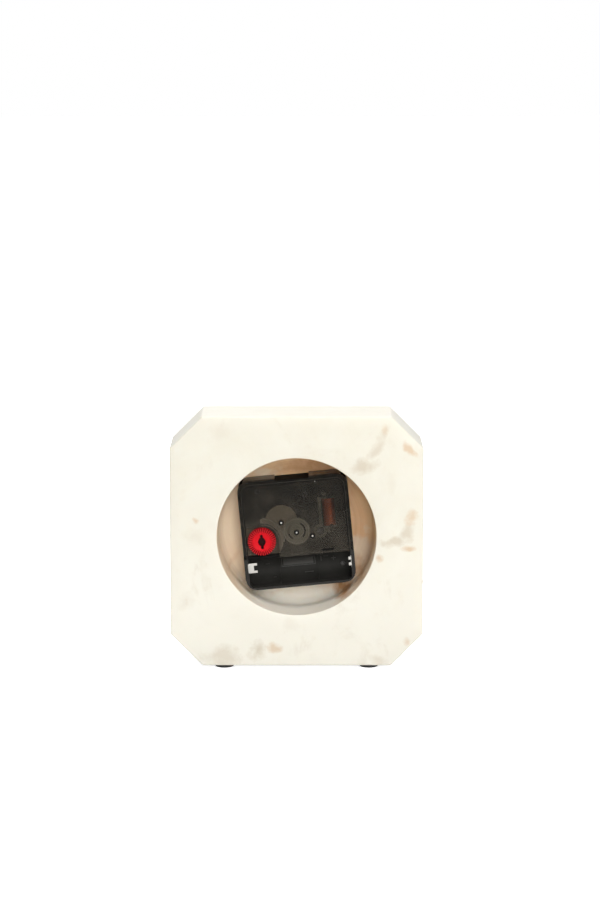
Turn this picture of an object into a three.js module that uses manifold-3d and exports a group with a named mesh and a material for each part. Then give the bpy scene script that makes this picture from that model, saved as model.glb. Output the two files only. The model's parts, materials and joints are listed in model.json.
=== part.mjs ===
// A square marble desk clock with a battery quartz movement in a round recess in its back.
// Everything is drawn as seen from behind: x to the right, y up, z towards the back.
// The clock group at the end turns that drawing upright: front at -Y, back at +Y, up is +Z.
// Sizes are in millimetres and angles in degrees, unless a name says otherwise.
import * as THREE from "three";
import { mergeVertices } from "three/addons/utils/BufferGeometryUtils.js";
import Module from "manifold-3d";

const wasm = await Module();
wasm.setup();

const ROUND_SIDES = 16;
const LARGE_ROUND_SIDES = 64;
const SMALL_ROUND_SIDES = 12;
const CUT_PAST = 1;
const JOIN = 0.1;
const GLUE_LINE = 0.1;
const SEAT_GAP = 0.3;
const RUNNING_GAP = 0.05;
const END_SHAKE = 0.2;
const MERGE_WITHIN = 1e-4;

// Marble block, its recess and its feet
const BLOCK = { width: 127, height: 127, depth: 38, chamfer: 16, ease: 0.8 };
const FOOT = { radius: 4.75, height: 1.5, spread: 73, inset: 5.8, ease: 0.4 };
const BUSH_HOLE_CLEARANCE = 0.4;

// Dial side
const MARKER = { outerReach: 52, length: 8, width: 1.5, quarterWidth: 2.6, thickness: 1 };
const MARKER_COUNT = 12;
const SHOWN_TIME = { hour: 10, minute: 9, second: 30 };

// Fixing of the movement through the front wall
const RUBBER_WASHER = { radius: 9, thickness: 1 };
const BRASS_WASHER = { radius: 7, thickness: 0.6 };
const NUT = { wall: 1.5, thickness: 2.2 };
const BUSH = { wall: 1.5, clearance: 0.2, flange: 2, flangeThickness: 0.8, pastNut: 0.6, chamfer: 0.4 };

// Hand stack, from the seconds arbor out to the hour tube, each running in the next
const SECONDS_ARBOR_RADIUS = 0.5;
const TUBE_CLEARANCE = 0.15;
const MINUTE_TUBE_WALL = 0.5;
const HOUR_TUBE_WALL = 1;
const HAND_SPACING = 1;
const HOUR_HAND = { reach: 29, hub: 3.8, width: 3.6, tip: 1.2, thickness: 0.6, tail: 8 };
const MINUTE_HAND = { reach: 43, hub: 3, width: 2.8, tip: 0.9, thickness: 0.6, tail: 9 };
const SECOND_HAND = { reach: 45, hub: 1.6, width: 0.8, tip: 0.4, thickness: 0.4, tail: 13 };
const SECOND_CAP = { radius: 1.9, height: 1.1 };

// Movement case
const CASE = { endWall: 2, corner: 6, wall: 1.2, floor: 1.4, tilt: 5.44 };
const COVER = { plate: 1.2, step: 1.6, stepHeight: 0.7, domeRadius: 1.3, domeHeight: 0.4 };
const BAY = { length: 52, height: 14.9, floor: 1.4, wall: 1, rimDrop: 0.6, corner: 2 };
const BAY_RIBS = { places: [-11, 8.5], width: 0.8, height: 0.6 };
const POCKET = { sideGap: 1.2, topGap: 0.6, corner: 8, floor: 0.9, wall: 1 };
const TOP_NOTCH = { length: 17.4, deep: 1.5, inset: 0.6 };
const SIDE_NOTCH = { y: 8, length: 5, deep: 0.6 };
const SLOT = { fromSide: 13.1, rise: 1.7, length: 6, width: 1 };

// Thicknesses of the layers inside the case
const LAYER = {
  hourWheel: 0.8,
  motionWork: 1.2,
  circuitBoard: 0.8,
  centreWheel: 0.8,
  middlePlate: 1,
  thirdWheel: 0.6,
  fifthWheel: 0.8,
  bridge: 0.5,
  secondsWheel: 0.8,
  stator: 0.8,
  magnet: 1.4,
};

// Clearances between one layer and the next, from the front wall to the cover
const LAYER_GAP = {
  flangeToHourWheel: 0.4,
  hourWheelToMotionWork: 1.4,
  motionWorkToCentreWheel: 0.8,
  centreWheelToPlate: 0.4,
  plateToThirdWheel: 0.4,
  plateToFifthWheel: 0.6,
  thirdWheelToBridge: 0.2,
  bridgeToSecondsWheel: 0.5,
  secondsWheelToStator: 0.3,
  magnetToCover: 1,
  motionWorkToBoard: 0.2,
};
const PINION_PAST_WHEEL = 0.2;
const MOTOR_LAP = 0.6;

// Gear teeth
const PRESSURE_ANGLE = 20;
const ADDENDUM = 0.8;
const DEDENDUM = 1;
const PROFILE_SHIFT = 0.5;
const BACKLASH = 0.08;
const LEAST_WHEEL_TEETH = 20;
const TEETH = {
  rotor: 8,
  fifthWheel: 40,
  fifthPinion: 10,
  secondsWheel: 60,
  secondsPinion: 8,
  thirdWheel: 60,
  thirdPinion: 8,
  centreWheel: 64,
  cannon: 12,
  minuteWheel: 36,
  minutePinion: 10,
  hourWheel: 40,
  knob: 23,
};
const MODULE = { rotor: 0.19, seconds: 0.235, third: 0.272, motion: 0.355 };

// Directions of the arbors as seen from behind, counter-clockwise from the right. The rotor's is taken from
// the fifth wheel, the knob's from the minute wheel, and the others' from the hands' axis.
const FIFTH_DIRECTION = -17.3;
const ROTOR_DIRECTION = 22.4;
const THIRD_DIRECTION = 142;
const MINUTE_DIRECTION = -152.3;
const KNOB_DIRECTION = 176.9;

const ARBOR_RADIUS = 0.4;
const PIVOT_DEPTH = 2;
const POST = { radius: 1.3, minuteRadius: 0.9, knobRadius: 0.9 };
const PLATE_POST = { fromTop: 3, fromBottom: 0.8, fromLeft: [2.8, 1.2], right: [6.5, 8] };
const BRIDGE = { steps: 12, pastPocket: 2.6, underPocket: 0.1 };
const BRIDGE_POST_INSET = { side: 2.2, end: 1.6 };
const KNOB = { radius: 7.2, hub: 1.9, boss: 3, dishRadius: 5.9, dishFoot: 5.4, dish: 0.7 };
const KNURL = { teeth: 36, depth: 0.35 };
const KNOB_SLOT = { length: 5.6, width: 3, deep: 1.3, tab: 0.8, tabReach: 0.7 };
const ROTOR_MAGNET_RADIUS = 1.6;
const SECONDS_WHEEL_SLOT = { inner: 3.9, outer: 4.7, sweep: 110, starts: [-50, 130] };
const SECONDS_WHEEL_HUB = 2.1;

// Motor: stator, coil and their posts, as seen from behind
const STATOR = { lobe: 3.6, hole: 2, barLean: 0.2, barWidth: 1.7, footWidth: 2.6 };
const COIL = { fromRotor: [5.13, 9.31], length: 14.4, halfWidth: 3.2, halfThickness: 2.3 };
const WIRE = { radius: 0.22, loops: 12, stepsPerLoop: 24, sides: 6, endGap: 0.1 };
const LEAST_TURN_GAP = 0.4;
const BOBBIN = {
  flange: 0.6, flangeHalfWidth: 3.4, flangeHalfThickness: 2.35, layerGap: 0.12, boreGap: 0.1,
};
const CORE = { width: 2, endWidth: 2.4, thickness: 0.8 };
const MOTOR_PEG = { radius: 0.6, head: 0.95, headHeight: 0.5 };

// Places of the motor's pegs, sideways from the coil's middle and outward from its flanges
const PEG_AT = { stator: [-4.3, 1.3], top: [0.2, 1], foot: [0.6, 1.4] };

// Electronics and battery contacts
const BOARD = { width: 15, sideGap: 1.2, topGap: 3.2, bayGap: 1.3, corner: 1 };
const CHIP = { fromLeft: 4.4, fromBottom: 13.6, radius: 2.6, height: 1.1 };
const CRYSTAL = { fromLeft: 10.9, fromBottom: 4.6, radius: 1, length: 6 };
const SHEET = 0.35;
const LEFT_CONTACT = {
  width: 5, aboveCell: 2.55, tab: 3, prong: 1.7, prongWidth: 1.2, fromFloor: 1.8, drop: 1.6,
};
const RIGHT_CONTACT = {
  width: 6.4, aboveCell: 1.65, prong: 1.5, prongWidth: 1.5, fromFloor: 1.8, drop: 1.8,
};

const FINISH = {
  marble: { color: "#f5f1e2", roughness: 0.35, metalness: 0 },
  brass: { color: "#c9a04e", roughness: 0.3, metalness: 1 },
  steel: { color: "#b9b9b6", roughness: 0.3, metalness: 1 },
  copper: { color: "#b5633c", roughness: 0.35, metalness: 1 },
  rubber: { color: "#17171a", roughness: 0.85, metalness: 0 },
  blackPlastic: { color: "#1d1c1b", roughness: 0.45, metalness: 0 },
  smokedPlastic: { color: "#3a3733", roughness: 0.2, metalness: 0 },
  redPlastic: { color: "#c8202a", roughness: 0.4, metalness: 0 },
  beigePlastic: { color: "#d8c9a8", roughness: 0.5, metalness: 0 },
  whitePlastic: { color: "#e8e4d6", roughness: 0.5, metalness: 0 },
  board: { color: "#7a6a3c", roughness: 0.6, metalness: 0 },
  resin: { color: "#101012", roughness: 0.3, metalness: 0 },
  magnet: { color: "#4a4a4c", roughness: 0.5, metalness: 1 },
};

// Small mathematics
const radians = (degrees) => (degrees * Math.PI) / 180;
const polar = (radius, degrees) =>
  [radius * Math.cos(radians(degrees)), radius * Math.sin(radians(degrees))];
const plus = (a, b) => [a[0] + b[0], a[1] + b[1]];
const distance = (a, b) => Math.hypot(a[0] - b[0], a[1] - b[1]);
const directionTo = (from, to) => Math.atan2(to[1] - from[1], to[0] - from[0]);
const involute = (angle) => Math.tan(angle) - angle;

// Outlines
function polygon(points) {
  return new THREE.Shape(points.map(([x, y]) => new THREE.Vector2(x, y)));
}

function circlePoints(radius, sides, [x, y] = [0, 0], turn = 0) {
  return Array.from({ length: sides }, (_, i) => plus([x, y], polar(radius, turn + (360 * i) / sides)));
}

function rectangle(left, bottom, right, top) {
  return polygon([[left, bottom], [right, bottom], [right, top], [left, top]]);
}

// Corner radii run counter-clockwise from the lower left.
function roundedRectangle(left, bottom, right, top, radii, steps = 6) {
  const corners = [[left, bottom], [right, bottom], [right, top], [left, top]];
  const inward = [[1, 1], [-1, 1], [-1, -1], [1, -1]];
  const points = corners.flatMap(([x, y], corner) => {
    const r = radii[corner];
    if (r === 0) return [[x, y]];
    const centre = [x + r * inward[corner][0], y + r * inward[corner][1]];
    return Array.from({ length: steps + 1 }, (_, i) =>
      plus(centre, polar(r, 180 + 90 * corner + (90 * i) / steps)));
  });
  return polygon(points);
}

function chamferedSquare(left, bottom, right, top, leg) {
  return polygon([
    [left + leg, bottom], [right - leg, bottom], [right, bottom + leg], [right, top - leg],
    [right - leg, top], [left + leg, top], [left, top - leg], [left, bottom + leg],
  ]);
}

function withHoles(shape, ...outlines) {
  for (const points of outlines) {
    shape.holes.push(new THREE.Path(points.map(([x, y]) => new THREE.Vector2(x, y))));
  }
  return shape;
}

// Solids
function solidFrom(geometry) {
  const bare = geometry.clone();
  bare.deleteAttribute("normal");
  bare.deleteAttribute("uv");
  const merged = mergeVertices(bare, MERGE_WITHIN);
  return new wasm.Manifold(new wasm.Mesh({
    numProp: 3,
    vertProperties: new Float32Array(merged.attributes.position.array),
    triVerts: new Uint32Array(merged.index.array),
  }));
}

function plate(shape, low, high) {
  const geometry = new THREE.ExtrudeGeometry(shape, { depth: high - low, bevelEnabled: false });
  return solidFrom(geometry.translate(0, 0, low));
}

// A plate whose edges are eased by a bevel, without growing past its outline.
function easedPlate(shape, low, high, ease, segments = 2) {
  const geometry = new THREE.ExtrudeGeometry(shape, {
    depth: high - low - 2 * ease,
    bevelThickness: ease,
    bevelSize: ease,
    bevelOffset: -ease,
    bevelSegments: segments,
  });
  return solidFrom(geometry.translate(0, 0, low + ease));
}

const box = (left, bottom, low, right, top, high) => plate(rectangle(left, bottom, right, top), low, high);

// A turned piece about the z axis: its profile is a list of [radius, z] that starts and ends on the axis
// or closes on itself, with the piece on its left.
function turned(profile, sides = ROUND_SIDES, at = [0, 0]) {
  const points = profile.map(([r, z]) => new THREE.Vector2(r, z));
  const geometry = new THREE.LatheGeometry(points, sides);
  return solidFrom(geometry.rotateX(Math.PI / 2).translate(at[0], at[1], 0));
}

const rod = (radius, low, high, at = [0, 0], sides = ROUND_SIDES) =>
  plate(polygon(circlePoints(radius, sides, at)), low, high);

const tube = (bore, radius, low, high, at = [0, 0], sides = ROUND_SIDES) =>
  plate(withHoles(polygon(circlePoints(radius, sides, at)), circlePoints(bore, sides, at)), low, high);

const joined = (first, ...others) => others.reduce((whole, piece) => whole.add(piece), first);
const cut = (first, ...others) => others.reduce((whole, piece) => whole.subtract(piece), first);

function named(name, solid, finish) {
  const mesh = solid.getMesh();
  const geometry = new THREE.BufferGeometry();
  geometry.setAttribute("position", new THREE.BufferAttribute(new Float32Array(mesh.vertProperties), 3));
  geometry.setIndex(new THREE.BufferAttribute(new Uint32Array(mesh.triVerts), 1));
  geometry.computeVertexNormals();
  const made = new THREE.Mesh(geometry, new THREE.MeshStandardMaterial(finish));
  made.name = name;
  return made;
}

// Gears
// The corners of straight-sided teeth, which lie on involute flanks, counter-clockwise from the phase angle.
function gearPoints(teeth, module, shift, phase, at) {
  const pressure = radians(PRESSURE_ANGLE);
  const pitchRadius = (module * teeth) / 2;
  const baseRadius = pitchRadius * Math.cos(pressure);
  const tipRadius = pitchRadius + module * (ADDENDUM + shift);
  const rootRadius = pitchRadius - module * (DEDENDUM - shift);
  const thickness = module * (Math.PI / 2 + 2 * shift * Math.tan(pressure)) - BACKLASH / 2;
  const pitchHalfAngle = thickness / (2 * pitchRadius) + involute(pressure);
  const halfAngle = (radius) => pitchHalfAngle - involute(Math.acos(Math.min(1, baseRadius / radius)));
  const start = Math.max(baseRadius, rootRadius);
  const flank = [[rootRadius, halfAngle(start)], [tipRadius, halfAngle(tipRadius)]];
  if (teeth < LEAST_WHEEL_TEETH && rootRadius < baseRadius) flank.splice(1, 0, [start, halfAngle(start)]);
  const corners = [...flank.map(([r, a]) => [r, -a]), ...flank.reverse()];
  return Array.from({ length: teeth }, (_, i) => corners.map(([r, a]) => {
    const angle = phase + (2 * Math.PI * i) / teeth + a;
    return [at[0] + r * Math.cos(angle), at[1] + r * Math.sin(angle)];
  })).flat();
}

// The phase that puts a gap of the second gear over a tooth of the first on the line between their centres.
function meshPhase(firstTeeth, firstPhase, secondTeeth, direction) {
  const pitches = ((direction - firstPhase) * firstTeeth) / (2 * Math.PI);
  return direction + Math.PI - ((0.5 - pitches) * 2 * Math.PI) / secondTeeth;
}

const centreDistance = (module, first, second) => (module * (first + second)) / 2;
const wheel = (teeth, module, phase, at, [low, high], ...holes) =>
  plate(withHoles(polygon(gearPoints(teeth, module, -PROFILE_SHIFT, phase, at)), ...holes), low, high);
const pinion = (teeth, module, phase, at, [low, high], ...holes) =>
  plate(withHoles(polygon(gearPoints(teeth, module, PROFILE_SHIFT, phase, at)), ...holes), low, high);

// Tubes round the hands' axis
const MINUTE_BORE = SECONDS_ARBOR_RADIUS + TUBE_CLEARANCE;
const MINUTE_TUBE_RADIUS = MINUTE_BORE + MINUTE_TUBE_WALL;
const HOUR_BORE = MINUTE_TUBE_RADIUS + TUBE_CLEARANCE;
const HOUR_TUBE_RADIUS = HOUR_BORE + HOUR_TUBE_WALL;
const BUSH_BORE = HOUR_TUBE_RADIUS + BUSH.clearance;
const BUSH_RADIUS = BUSH_BORE + BUSH.wall;

// Places of the arbors, from the distances at which their gears mesh
const AXIS = [0, 0];
const MINUTE_DISTANCE = centreDistance(MODULE.motion, TEETH.cannon, TEETH.minuteWheel);
const KNOB_DISTANCE = centreDistance(MODULE.motion, TEETH.minuteWheel, TEETH.knob);
const FIFTH = polar(centreDistance(MODULE.seconds, TEETH.fifthPinion, TEETH.secondsWheel), FIFTH_DIRECTION);
const ROTOR_DISTANCE = centreDistance(MODULE.rotor, TEETH.rotor, TEETH.fifthWheel);
const ROTOR = plus(FIFTH, polar(ROTOR_DISTANCE, ROTOR_DIRECTION));
const THIRD_DISTANCE = centreDistance(MODULE.third, TEETH.secondsPinion, TEETH.thirdWheel);
const THIRD = polar(THIRD_DISTANCE, THIRD_DIRECTION);
const MINUTE = polar(MINUTE_DISTANCE, MINUTE_DIRECTION);
const KNOB_PLACE = plus(MINUTE, polar(KNOB_DISTANCE, KNOB_DIRECTION));
const centreModule = (2 * THIRD_DISTANCE) / (TEETH.thirdPinion + TEETH.centreWheel);
const hourModule = (2 * MINUTE_DISTANCE) / (TEETH.minutePinion + TEETH.hourWheel);

// The case is as wide as the cell in its bay asks, and the bay lies under the knob and the minute wheel.
const HALF = BAY.length / 2 + CASE.endWall;
const INSIDE = HALF - CASE.wall;
const MINUTE_WHEEL_REACH = MODULE.motion * (TEETH.minuteWheel / 2 + ADDENDUM - PROFILE_SHIFT);
const TRAIN_LOW = Math.min(KNOB_PLACE[1] - KNOB.radius, MINUTE[1] - MINUTE_WHEEL_REACH);
const BAY_WALL_TOP = TRAIN_LOW - SEAT_GAP;
const BAY_TOP = BAY_WALL_TOP - BAY.wall;
const BAY_LOW = BAY_TOP - BAY.height;
const CASE_LOW = BAY_LOW - CASE.wall;
const CELL_Y = BAY_LOW + BAY.height / 2;
const CELL_DEPTH = BAY.floor + BAY.height / 2;

// The recess takes the movement's corners with a clearance, about the hands' axis.
const RECESS_CLEARANCE = 2.9;
const caseReach = (y) => Math.hypot(HALF - CASE.corner, y - CASE.corner) + CASE.corner;
const RECESS_RADIUS = Math.max(caseReach(HALF), caseReach(-CASE_LOW)) + RECESS_CLEARANCE;
const RECESS = { radius: RECESS_RADIUS, depth: 29, cove: 5, rimEase: 0.5, rise: 2.5 };
const AXIS_HEIGHT = FOOT.height + BLOCK.height / 2 + RECESS.rise;
const WALL = BLOCK.depth - RECESS.depth;
const CASE_FRONT = WALL + RUBBER_WASHER.thickness;
const DIAL_LEVEL = -CASE_FRONT;

// Levels inside the case, as distances from its front face, stepped from the front wall to the cover
const layerFrom = (low, thickness) => [low, low + thickness];
const pastWheel = ([low, high]) => [low - PINION_PAST_WHEEL, high + PINION_PAST_WHEEL];
const LEVEL = {};
LEVEL.flangeBack = CASE.floor + BUSH.flangeThickness;
LEVEL.hourWheel = layerFrom(LEVEL.flangeBack + LAYER_GAP.flangeToHourWheel, LAYER.hourWheel);
LEVEL.motionWork = layerFrom(LEVEL.hourWheel[1] + LAYER_GAP.hourWheelToMotionWork, LAYER.motionWork);
LEVEL.circuitBoard = layerFrom(LEVEL.motionWork[0] + LAYER_GAP.motionWorkToBoard, LAYER.circuitBoard);
LEVEL.centreWheel = layerFrom(LEVEL.motionWork[1] + LAYER_GAP.motionWorkToCentreWheel, LAYER.centreWheel);
LEVEL.thirdPinion = pastWheel(LEVEL.centreWheel);
LEVEL.middlePlate = layerFrom(LEVEL.centreWheel[1] + LAYER_GAP.centreWheelToPlate, LAYER.middlePlate);
LEVEL.thirdWheel = layerFrom(LEVEL.middlePlate[1] + LAYER_GAP.plateToThirdWheel, LAYER.thirdWheel);
LEVEL.fifthWheel = layerFrom(LEVEL.middlePlate[1] + LAYER_GAP.plateToFifthWheel, LAYER.fifthWheel);
LEVEL.rotorPinion = pastWheel(LEVEL.fifthWheel);
LEVEL.bridge = layerFrom(LEVEL.thirdWheel[1] + LAYER_GAP.thirdWheelToBridge, LAYER.bridge);
LEVEL.secondsWheel = layerFrom(LEVEL.bridge[1] + LAYER_GAP.bridgeToSecondsWheel, LAYER.secondsWheel);
LEVEL.secondsPinion = [LEVEL.middlePlate[1] + SEAT_GAP, LEVEL.secondsWheel[0] - SEAT_GAP];
LEVEL.fifthPinion = [LEVEL.secondsWheel[0] - PINION_PAST_WHEEL, LEVEL.secondsWheel[1]];
LEVEL.stator = layerFrom(LEVEL.secondsWheel[1] + LAYER_GAP.secondsWheelToStator, LAYER.stator);
LEVEL.magnet = layerFrom((LEVEL.stator[0] + LEVEL.stator[1] - LAYER.magnet) / 2, LAYER.magnet);
LEVEL.coil = LEVEL.stator[0] - MOTOR_LAP;
LEVEL.core = layerFrom(LEVEL.coil - CORE.thickness / 2, CORE.thickness);

// Depths of the case: where its two halves part, the cover's two faces and the rim beside the bay
const POCKET_FLOOR = LEVEL.bridge[1] + BRIDGE.underPocket + POCKET.floor;
const PARTING = POCKET_FLOOR + SEAT_GAP;
const PLATE_UNDER = LEVEL.magnet[1] + LAYER_GAP.magnetToCover;
const CASE_DEPTH = PLATE_UNDER + COVER.plate;
const RIM = CASE_DEPTH - BAY.rimDrop;

// The pocket round the knob
const POCKET_RIGHT = KNOB_PLACE[0] + KNOB.radius + POCKET.sideGap;
const POCKET_TOP = KNOB_PLACE[1] + KNOB.radius + POCKET.topGap;

// Edges of the plates inside
const BOARD_RIGHT = INSIDE - BOARD.sideGap;
const BOARD_EDGE = {
  left: BOARD_RIGHT - BOARD.width,
  right: BOARD_RIGHT,
  bottom: BAY_WALL_TOP + BOARD.bayGap,
  top: INSIDE - BOARD.topGap,
};
const PLATE_EDGE = {
  left: KNOB_PLACE[0] + KNOB.hub + SEAT_GAP,
  right: INSIDE - SEAT_GAP,
  bottom: BAY_WALL_TOP + SEAT_GAP,
  top: INSIDE - SEAT_GAP,
};
const BRIDGE_REACH = KNOB.radius + POCKET.sideGap + BRIDGE.pastPocket;
const BRIDGE_EDGE = { left: SEAT_GAP - INSIDE, bottom: PLATE_EDGE.bottom, top: POCKET_TOP - POCKET.wall };

// The coil and the pegs beside it
const COIL_PLACE = plus(ROTOR, COIL.fromRotor);
const COIL_REACH = COIL.length / 2 + BOBBIN.flange;
const STATOR_POST = plus(COIL_PLACE, [PEG_AT.stator[0], COIL_REACH + PEG_AT.stator[1]]);
const COIL_TOP_POST = plus(COIL_PLACE, [PEG_AT.top[0], COIL_REACH + PEG_AT.top[1]]);
const COIL_FOOT_POST = plus(COIL_PLACE, [PEG_AT.foot[0], -COIL_REACH - PEG_AT.foot[1]]);

// The hands' levels, stepping forward from the nut
const NUT_FRONT = DIAL_LEVEL - BRASS_WASHER.thickness - NUT.thickness;
const BUSH_FRONT = NUT_FRONT - BUSH.pastNut;
const HOUR_LEVEL = BUSH_FRONT - HAND_SPACING - HOUR_HAND.thickness;
const MINUTE_LEVEL = HOUR_LEVEL - HAND_SPACING - MINUTE_HAND.thickness;
const SECOND_LEVEL = MINUTE_LEVEL - HAND_SPACING - SECOND_HAND.thickness;
const FRONT_REACH = -(SECOND_LEVEL - SECOND_CAP.height) - CASE_FRONT;

// Marble block: an eased square with cut corners, a coved round recess and a hole for the bush
function marbleBlock() {
  const side = BLOCK.width / 2;
  const outline = chamferedSquare(-side, FOOT.height, side, FOOT.height + BLOCK.height, BLOCK.chamfer);
  const block = easedPlate(outline, 0, BLOCK.depth, BLOCK.ease);
  const centre = [0, AXIS_HEIGHT];
  const hole = rod(BUSH_RADIUS + BUSH_HOLE_CLEARANCE, -CUT_PAST, WALL + CUT_PAST, centre);
  return cut(block, turned(recessProfile(), LARGE_ROUND_SIDES, centre), hole);
}

function recessProfile() {
  const { radius, cove, rimEase } = RECESS;
  const coveSteps = 4;
  const coveArc = Array.from({ length: coveSteps + 1 }, (_, i) => {
    const [x, y] = polar(cove, -90 + (90 * i) / coveSteps);
    return [radius - cove + x, WALL + cove + y];
  });
  return [
    [0, WALL],
    ...coveArc,
    [radius, BLOCK.depth - rimEase],
    [radius + rimEase, BLOCK.depth],
    [radius + rimEase, BLOCK.depth + CUT_PAST],
    [0, BLOCK.depth + CUT_PAST],
  ];
}

// A turned rubber disc that stands upright under the block.
function foot() {
  const { radius, height, ease } = FOOT;
  const top = height - GLUE_LINE;
  const profile = [[0, 0], [radius - ease, 0], [radius, ease], [radius, top], [0, top]];
  const points = profile.map(([r, y]) => new THREE.Vector2(r, y));
  return solidFrom(new THREE.LatheGeometry(points, ROUND_SIDES));
}

function feet() {
  const group = new THREE.Group();
  for (const [side, x] of [["left", -1], ["right", 1]]) {
    for (const [end, z] of [["front", FOOT.inset], ["rear", BLOCK.depth - FOOT.inset]]) {
      const made = named(`foot_${end}_${side}`, foot(), FINISH.rubber);
      made.position.set((-x * FOOT.spread) / 2, 0, z);
      group.add(made);
    }
  }
  return group;
}

// Hour markers: bevelled brass bars glued round the dial, wider at each quarter
function hourMarkers() {
  const group = new THREE.Group();
  group.position.y = AXIS_HEIGHT;
  for (let hour = 1; hour <= MARKER_COUNT; hour += 1) {
    const width = hour % 3 === 0 ? MARKER.quarterWidth : MARKER.width;
    const outline = rectangle(-width / 2, MARKER.outerReach - MARKER.length, width / 2, MARKER.outerReach);
    const bar = easedPlate(outline, -MARKER.thickness - GLUE_LINE, -GLUE_LINE, MARKER.thickness / 4, 1);
    const made = named(`hour_marker_${String(hour).padStart(2, "0")}`, bar, FINISH.brass);
    made.rotation.z = radians((360 * hour) / MARKER_COUNT);
    group.add(made);
  }
  return group;
}

// Fixing through the front wall: flanged bush, rubber washer behind, brass washer and hexagon nut in front
function threadedBush() {
  const { flangeThickness, chamfer } = BUSH;
  const bore = BUSH_BORE;
  const radius = BUSH_RADIUS;
  const flange = radius + BUSH.flange;
  const back = CASE.floor + flangeThickness + RUNNING_GAP;
  return turned([
    [bore, BUSH_FRONT],
    [radius - chamfer, BUSH_FRONT],
    [radius, BUSH_FRONT + chamfer],
    [radius, back - flangeThickness],
    [flange, back - flangeThickness],
    [flange, back],
    [bore, back],
    [bore, BUSH_FRONT],
  ]);
}

function rubberWasher() {
  const { radius, thickness } = RUBBER_WASHER;
  return tube(BUSH_RADIUS + SEAT_GAP, radius, -thickness + RUNNING_GAP, -RUNNING_GAP);
}

function brassWasher() {
  const back = DIAL_LEVEL - RUNNING_GAP;
  return tube(BUSH_RADIUS + SEAT_GAP, BRASS_WASHER.radius, DIAL_LEVEL - BRASS_WASHER.thickness, back);
}

// The nut's corners are rounded off on its outer face by a cone, as a turned nut has them.
function hexNut() {
  const toFlat = BUSH_RADIUS + NUT.wall;
  const corner = (2 * toFlat) / Math.sqrt(3);
  const back = NUT_FRONT + NUT.thickness - RUNNING_GAP;
  const bore = circlePoints(BUSH_RADIUS + RUNNING_GAP, ROUND_SIDES);
  const outline = withHoles(polygon(circlePoints(corner, 6)), bore);
  const slope = corner - toFlat;
  const cone = turned([
    [0, NUT_FRONT - CUT_PAST],
    [toFlat - CUT_PAST, NUT_FRONT - CUT_PAST],
    [corner + CUT_PAST, NUT_FRONT + slope + CUT_PAST],
    [corner + CUT_PAST, back + CUT_PAST],
    [0, back + CUT_PAST],
  ]);
  return plate(outline, NUT_FRONT, back).intersect(cone);
}

// Hands
function handBlade({ reach, hub, width, tip, thickness, tail }, bore, level, sides) {
  const blade = polygon([
    [-tip / 2, reach - tip], [0, reach], [tip / 2, reach - tip],
    [width / 2, hub * 1.6], [width / 3, -tail], [-width / 3, -tail], [-width / 2, hub * 1.6],
  ]);
  const disc = rod(hub, level, level + thickness, AXIS, sides);
  const shape = joined(plate(blade, level, level + thickness), disc);
  return bore ? cut(shape, rod(bore, level - CUT_PAST, level + thickness + CUT_PAST, AXIS, sides)) : shape;
}

const TURN_PER_HOUR = 30;
const TURN_PER_MINUTE = 6;
const shownMinutes = SHOWN_TIME.minute + SHOWN_TIME.second / 60;
const HAND_TURN = {
  hour: TURN_PER_HOUR * (SHOWN_TIME.hour + shownMinutes / 60),
  minute: TURN_PER_MINUTE * shownMinutes,
  second: TURN_PER_MINUTE * SHOWN_TIME.second,
};

// A hand turned to the shown time, upright although its movement is tilted in the recess.
function hand(name, solid, turn) {
  const made = named(name, solid, FINISH.brass);
  made.rotation.z = radians(turn - CASE.tilt);
  return made;
}

function secondHand() {
  const { thickness, hub } = SECOND_HAND;
  const { radius, height } = SECOND_CAP;
  const back = SECOND_LEVEL + thickness;
  const cap = turned([
    [0, SECOND_LEVEL - height],
    [radius * 0.55, SECOND_LEVEL - height],
    [radius * 0.9, SECOND_LEVEL - height * 0.6],
    [radius, SECOND_LEVEL],
    [radius, back],
    [0, back],
  ]);
  const socket = rod(SECONDS_ARBOR_RADIUS + RUNNING_GAP, SECOND_LEVEL - height / 2, back + CUT_PAST, AXIS);
  const blade = handBlade(SECOND_HAND, 0, SECOND_LEVEL, ROUND_SIDES);
  return cut(joined(blade, rod(hub, SECOND_LEVEL, back), cap), socket);
}

function hands() {
  const group = new THREE.Group();
  const hourHand = handBlade(HOUR_HAND, HOUR_TUBE_RADIUS + RUNNING_GAP, HOUR_LEVEL, ROUND_SIDES);
  const minuteHand = handBlade(MINUTE_HAND, MINUTE_TUBE_RADIUS + RUNNING_GAP, MINUTE_LEVEL, ROUND_SIDES);
  group.add(hand("hour_hand", hourHand, HAND_TURN.hour));
  group.add(hand("minute_hand", minuteHand, HAND_TURN.minute));
  group.add(hand("second_hand", secondHand(), HAND_TURN.second));
  return group;
}

// Front shell: the black tray with the gear chamber, the battery bay and the posts that carry the train
function caseOutline() {
  const { corner } = CASE;
  return roundedRectangle(-HALF, CASE_LOW, HALF, HALF, [corner, corner, corner, corner]);
}

function post(place, radius, top, pivotDepth) {
  const solid = rod(radius, CASE.floor - JOIN, top, place, SMALL_ROUND_SIDES);
  if (!pivotDepth) return solid;
  return cut(solid, arborHole(place, top - pivotDepth, top + CUT_PAST));
}

// A running hole for an arbor
const arborHole = (place, low, high, radius = ARBOR_RADIUS) =>
  rod(radius + RUNNING_GAP, low, high, place, SMALL_ROUND_SIDES);

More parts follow.
